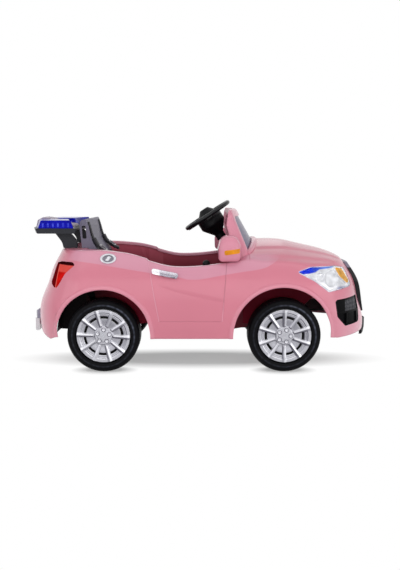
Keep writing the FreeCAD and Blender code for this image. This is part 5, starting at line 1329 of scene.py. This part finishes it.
class RIDEON_OT_wheels(bpy.types.Operator):
    """Builds the lugged tyres and the spoked hubcaps."""
    bl_idname = "rideon.wheels"
    bl_label = "Wheels"

    def execute(self, context):
        tyre = self.tyre(context.scene.rideon.tread_lugs)
        for name, x, side, phase in WHEELS:
            for kind, (grid, marks), slot, paint, turned in (
                    ("tyre", tyre, "tyre_black", "tyre_black", side > 0),
                    ("hubcap", self.cap(phase), "hub_silver", "hubcap", side < 0)):
                verts = grid.reshape(-1, 3) + np.array([x, WHEEL_FACE, AXLE_Z])
                verts[:, 1] *= side
                faces = grid_faces(*grid.shape[:2], wrap_u=True)
                make(kind + "." + name, (verts, faces[:, ::-1] if turned else faces), slot, paint,
                     name + "_wheel", weld=0.001, marks=marks, nodes=(kind + "_" + name,))
        return {"FINISHED"}

    def tyre(self, lugs):
        """Profile of sidewalls and tread turned round the axle; slanted shoulder grooves and a
        zigzag middle groove lower the tread by a smooth mask of angle and width."""
        profile = along(rounded(TYRE, 1.0, False), 150)
        radius, out = profile.T
        turns = circle(510)[:, None]
        mid = out - TREAD_MID
        side = np.abs(mid)
        slant = turns + np.sign(mid) * np.pi / (2 * lugs)
        groove = step(0.5, 0.8, np.cos(lugs * slant + side * 0.045)) * step(9, 13, side)
        zigzag = np.abs(mid - 4.5 * np.sin(lugs * turns))
        groove = np.maximum(groove, fall(1.6, 3.2, zigzag))
        outer = np.arange(len(out)) <= np.argmax(out < -77.9)
        tread = step(93.5, 98.5, radius) * step(-79, -77, out) * outer
        r = radius - 1.8 * groove * tread
        block = step(0.2, 0.7, np.cos(lugs * turns)) * step(93, 95, radius) * outer
        raised = step(84.5, 86, radius) * fall(88, 89.5, radius) * (out > -5)
        broken = 0.62 + 0.38 * np.cos(11 * turns) * np.cos(29 * turns + 1)
        # Painted glint: strongest where the ring faces the upper right, broken into arcs, plus the
        # shoulder lugs
        glint = (np.clip(np.cos(turns - 0.75), 0, 1) ** 2 + 0.25) * raised * broken + 0.3 * block
        grid = points(r * np.cos(turns), out, r * np.sin(turns))
        return grid, {"glint": glint.reshape(-1)}

    def cap(self, phase):
        """Height over radius and angle: stepped rim, ten ridged spokes, flat panels with a dark
        slot at their outer end, a five-lobed boss and five nuts; tone is painted light, how far
        each facet leans toward a light at the upper right, with painted shade round the nuts and
        along the star's edge."""
        r = np.concatenate([np.linspace(0, 48, 90), np.linspace(48.4, 75.4, 70)])[None]
        sweep = circle(480)[:, None]
        turns = sweep - phase
        pitch = 2 * np.pi / SPOKES
        across = np.abs(r * np.sin(turns % pitch - pitch / 2))
        half = 3.4 + 0.03 * r
        spoke = fall(half - 0.3, half + 1.0, across) * step(24, 29, r)
        panel = -9.0 + 1.5 * step(28, 48, r) + 2.4 * step(56.6, 57.6, r) + 1.4 * step(61.4, 62.2, r)
        panel = panel + 1.8 * step(65.6, 66.6, r) - 0.9 * np.exp(-((r - 64) / 0.8) ** 2)
        bar = -5.0 + 3.6 * step(24, 70, r) + 2.4 * np.clip(1 - across / half, 0, 1)
        slot = step(48.6, 49.4, r) * fall(55.2, 55.9, r) * step(half + 0.8, half + 1.6, across)
        y = panel + (np.maximum(bar, panel) - panel) * spoke - 6 * slot
        lobes = np.cos(NUTS * turns)
        boss = fall(-1.2, 1.2, r - 25.0 - 1.4 * lobes)
        star = r - 14.0 + 3.0 * lobes
        y = y * (1 - boss) - 4.6 * boss + 1.6 * fall(-1.0, 1.0, star)
        place = np.round(turns / (2 * np.pi / NUTS)) * 2 * np.pi / NUTS
        nut = np.hypot(r * np.cos(turns) - NUT_RING * np.cos(place),
                       r * np.sin(turns) - NUT_RING * np.sin(place))
        y = y + 2.4 * fall(4.2, 5.4, nut) - 1.8 * fall(2.2, 3.4, nut)
        y = y - 6 * step(73.6, 75.4, r) ** 2 + 0 * turns
        along_r = np.gradient(y, r[0], axis=1)
        arc = 2 * (turns[1] - turns[0]) * np.maximum(r, 0.05)
        along_t = (np.roll(y, -1, 0) - np.roll(y, 1, 0)) / arc
        # Painted light: facets leaning toward the upper right get a paler tone, those leaning away
        # a darker one
        lean = along_r * np.cos(sweep - 1.0) - along_t * np.sin(sweep - 1.0)
        tone = np.clip(0.46 - 1.1 * lean / np.sqrt(1 + along_r ** 2 + along_t ** 2), 0, 1)
        tone = tone * (1 - boss) + boss * np.clip(0.5 + 0.6 * (tone - 0.46), 0, 1)
        # Painted shade in a ring round each nut and along the star's edge; painted highlight on the
        # nut tops and the rim step, painted shade over the panels
        ring = step(4.4, 5.2, nut) * fall(6.0, 7.0, nut)
        tone = tone * (1 - 0.85 * ring) * (1 - 0.5 * np.exp(-(star / 0.8) ** 2))
        tone = tone + 0.3 * fall(3.6, 4.6, nut) - 0.04 * spoke + 0.12 * step(66, 67, r)
        tone = np.clip(tone - 0.1 * (1 - spoke) * (1 - boss), 0, 1)
        grid = points(r * np.cos(sweep), y, r * np.sin(sweep))
        skirt = grid[:, -1:].copy()
        skirt[..., 1] = -15.0
        ends = np.zeros((len(sweep), 1))
        return np.concatenate([grid, skirt], 1), {
            "slot": np.concatenate([slot, ends], 1).reshape(-1),
            "tone": np.concatenate([tone, ends + 0.5], 1).reshape(-1)}


class RIDEON_OT_stage(bpy.types.Operator):
    """Sets the camera, the pale floor, the soft lamps and the white surround."""
    bl_idname = "rideon.stage"
    bl_label = "Stage"

    def execute(self, context):
        look = context.scene.rideon
        scene = context.scene
        data = bpy.data.cameras.new("camera")
        data.lens = look.camera_lens
        data.sensor_width = 36.0
        data.clip_end = 50
        camera = bpy.data.objects.new("camera", data)
        camera.location = (0.0, -look.camera_distance, look.camera_height)
        camera.rotation_euler = (math.pi / 2 - look.camera_tilt, 0.0, 0.0)
        scene.collection.objects.link(camera)
        scene.camera = camera
        scene.view_settings.view_transform = "Standard"
        for name, values in LAMPS.items():
            self.lamp(name, *values)
        self.floor()
        self.surround()
        return {"FINISHED"}

    def lamp(self, name, place, aim, size, power):
        data = bpy.data.lights.new(name, "AREA")
        data.shape = "RECTANGLE"
        data.size, data.size_y = size
        data.energy = power
        lamp = bpy.data.objects.new(name, data)
        lamp.location = place
        way = np.array(aim) - np.array(place)
        lamp.rotation_euler = (math.acos(-way[2] / np.linalg.norm(way)), 0.0,
                               math.atan2(way[1], way[0]) - math.pi / 2)
        bpy.context.scene.collection.objects.link(lamp)

    def floor(self):
        """Flat floor, white to the camera where no shadow falls: near the car and the wheels its
        own shading shows, away from them a plain glow takes over."""
        side = np.linspace(-FLOOR_REACH, FLOOR_REACH, FLOOR_POINTS)
        x, y = np.meshgrid(side, side, indexing="ij")
        verts = points(x, y, 0.0).reshape(-1, 3)
        mesh = bpy.data.meshes.new("floor")
        mesh.from_pydata(verts.tolist(), [], grid_faces(FLOOR_POINTS, FLOOR_POINTS).tolist())
        s = Shader("floor")
        s.set(Base_Color=s.mix(s.rise(s.noise(3.0), *NOISE), FLOOR_DARK, FLOOR_PALE),
              Roughness=0.7, Specular_IOR_Level=0.2)
        px, py, _ = s.xyz()
        wheel = s.less(s.size(s.less(px, WHEELS_MID)), WHEELS_APART)
        near = s.math("MINIMUM", self.oval(s, px, py, *CAR_OVAL),
                      self.oval(s, wheel, py, *WHEEL_OVAL))
        factor = s.times(s.seen(), s.ramp(near, 0.55, 1.15, 0.35, 1.0))
        glow = s.node("Emission", {"Strength": 1.0})[0]
        both = s.node("MixShader", {0: factor, 1: s.bsdf.outputs[0], 2: glow})[0]
        s.put(s.tree.nodes["Material Output"].inputs["Surface"], both)
        mesh.materials.append(s.mat)
        floor = bpy.data.objects.new("floor", mesh)
        bpy.context.scene.collection.objects.link(floor)

    def oval(self, s, x, y, half_x, mid_y, half_y):
        """Distance from an oval's middle in parts of its half axes: 1 on its edge."""
        return s.radius(s.math("DIVIDE", x, half_x), s.math("DIVIDE", s.less(y, mid_y), half_y))

    def surround(self):
        """World: pale grey light, white where the camera, a mirror or a clear piece looks at it."""
        world = bpy.data.worlds.new("surround")
        bpy.context.scene.world = world
        world.use_nodes = True
        n = Nodes(world.node_tree)
        back = n.tree.nodes["Background"]
        n.put(back.inputs["Color"], (1, 1, 1, 1))
        n.put(back.inputs["Strength"], n.ramp(n.seen(), 0.0, 1.0, 0.4, 1.0))


OPERATORS = (RIDEON_OT_paint, RIDEON_OT_stage, RIDEON_OT_shell, RIDEON_OT_wells,
             RIDEON_OT_headlamps, RIDEON_OT_vents, RIDEON_OT_tail_lamps, RIDEON_OT_belts,
             RIDEON_OT_fuel_flap, RIDEON_OT_windscreen, RIDEON_OT_mirrors, RIDEON_OT_wheels)


class RIDEON_PT_panel(bpy.types.Panel):
    """Sizes, colours and the build steps."""
    bl_idname = "RIDEON_PT_panel"
    bl_label = "Ride-on car"
    bl_space_type = "VIEW_3D"
    bl_region_type = "UI"
    bl_category = "Ride-on"

    def draw(self, context):
        look = context.scene.rideon
        for key in RIDEON_PG_look.__annotations__:
            self.layout.prop(look, key)
        for cls in OPERATORS:
            self.layout.operator(cls.bl_idname)


CLASSES = (RIDEON_PG_look, *OPERATORS, RIDEON_PT_panel)


def register():
    for cls in CLASSES:
        bpy.utils.register_class(cls)
    bpy.types.Scene.rideon = bpy.props.PointerProperty(type=RIDEON_PG_look)


def unregister():
    del bpy.types.Scene.rideon
    for cls in reversed(CLASSES):
        bpy.utils.unregister_class(cls)


def main():
    register()
    for cls in OPERATORS:
        getattr(bpy.ops.rideon, cls.bl_idname.split(".")[1])()


if __name__ == "__main__":
    main()
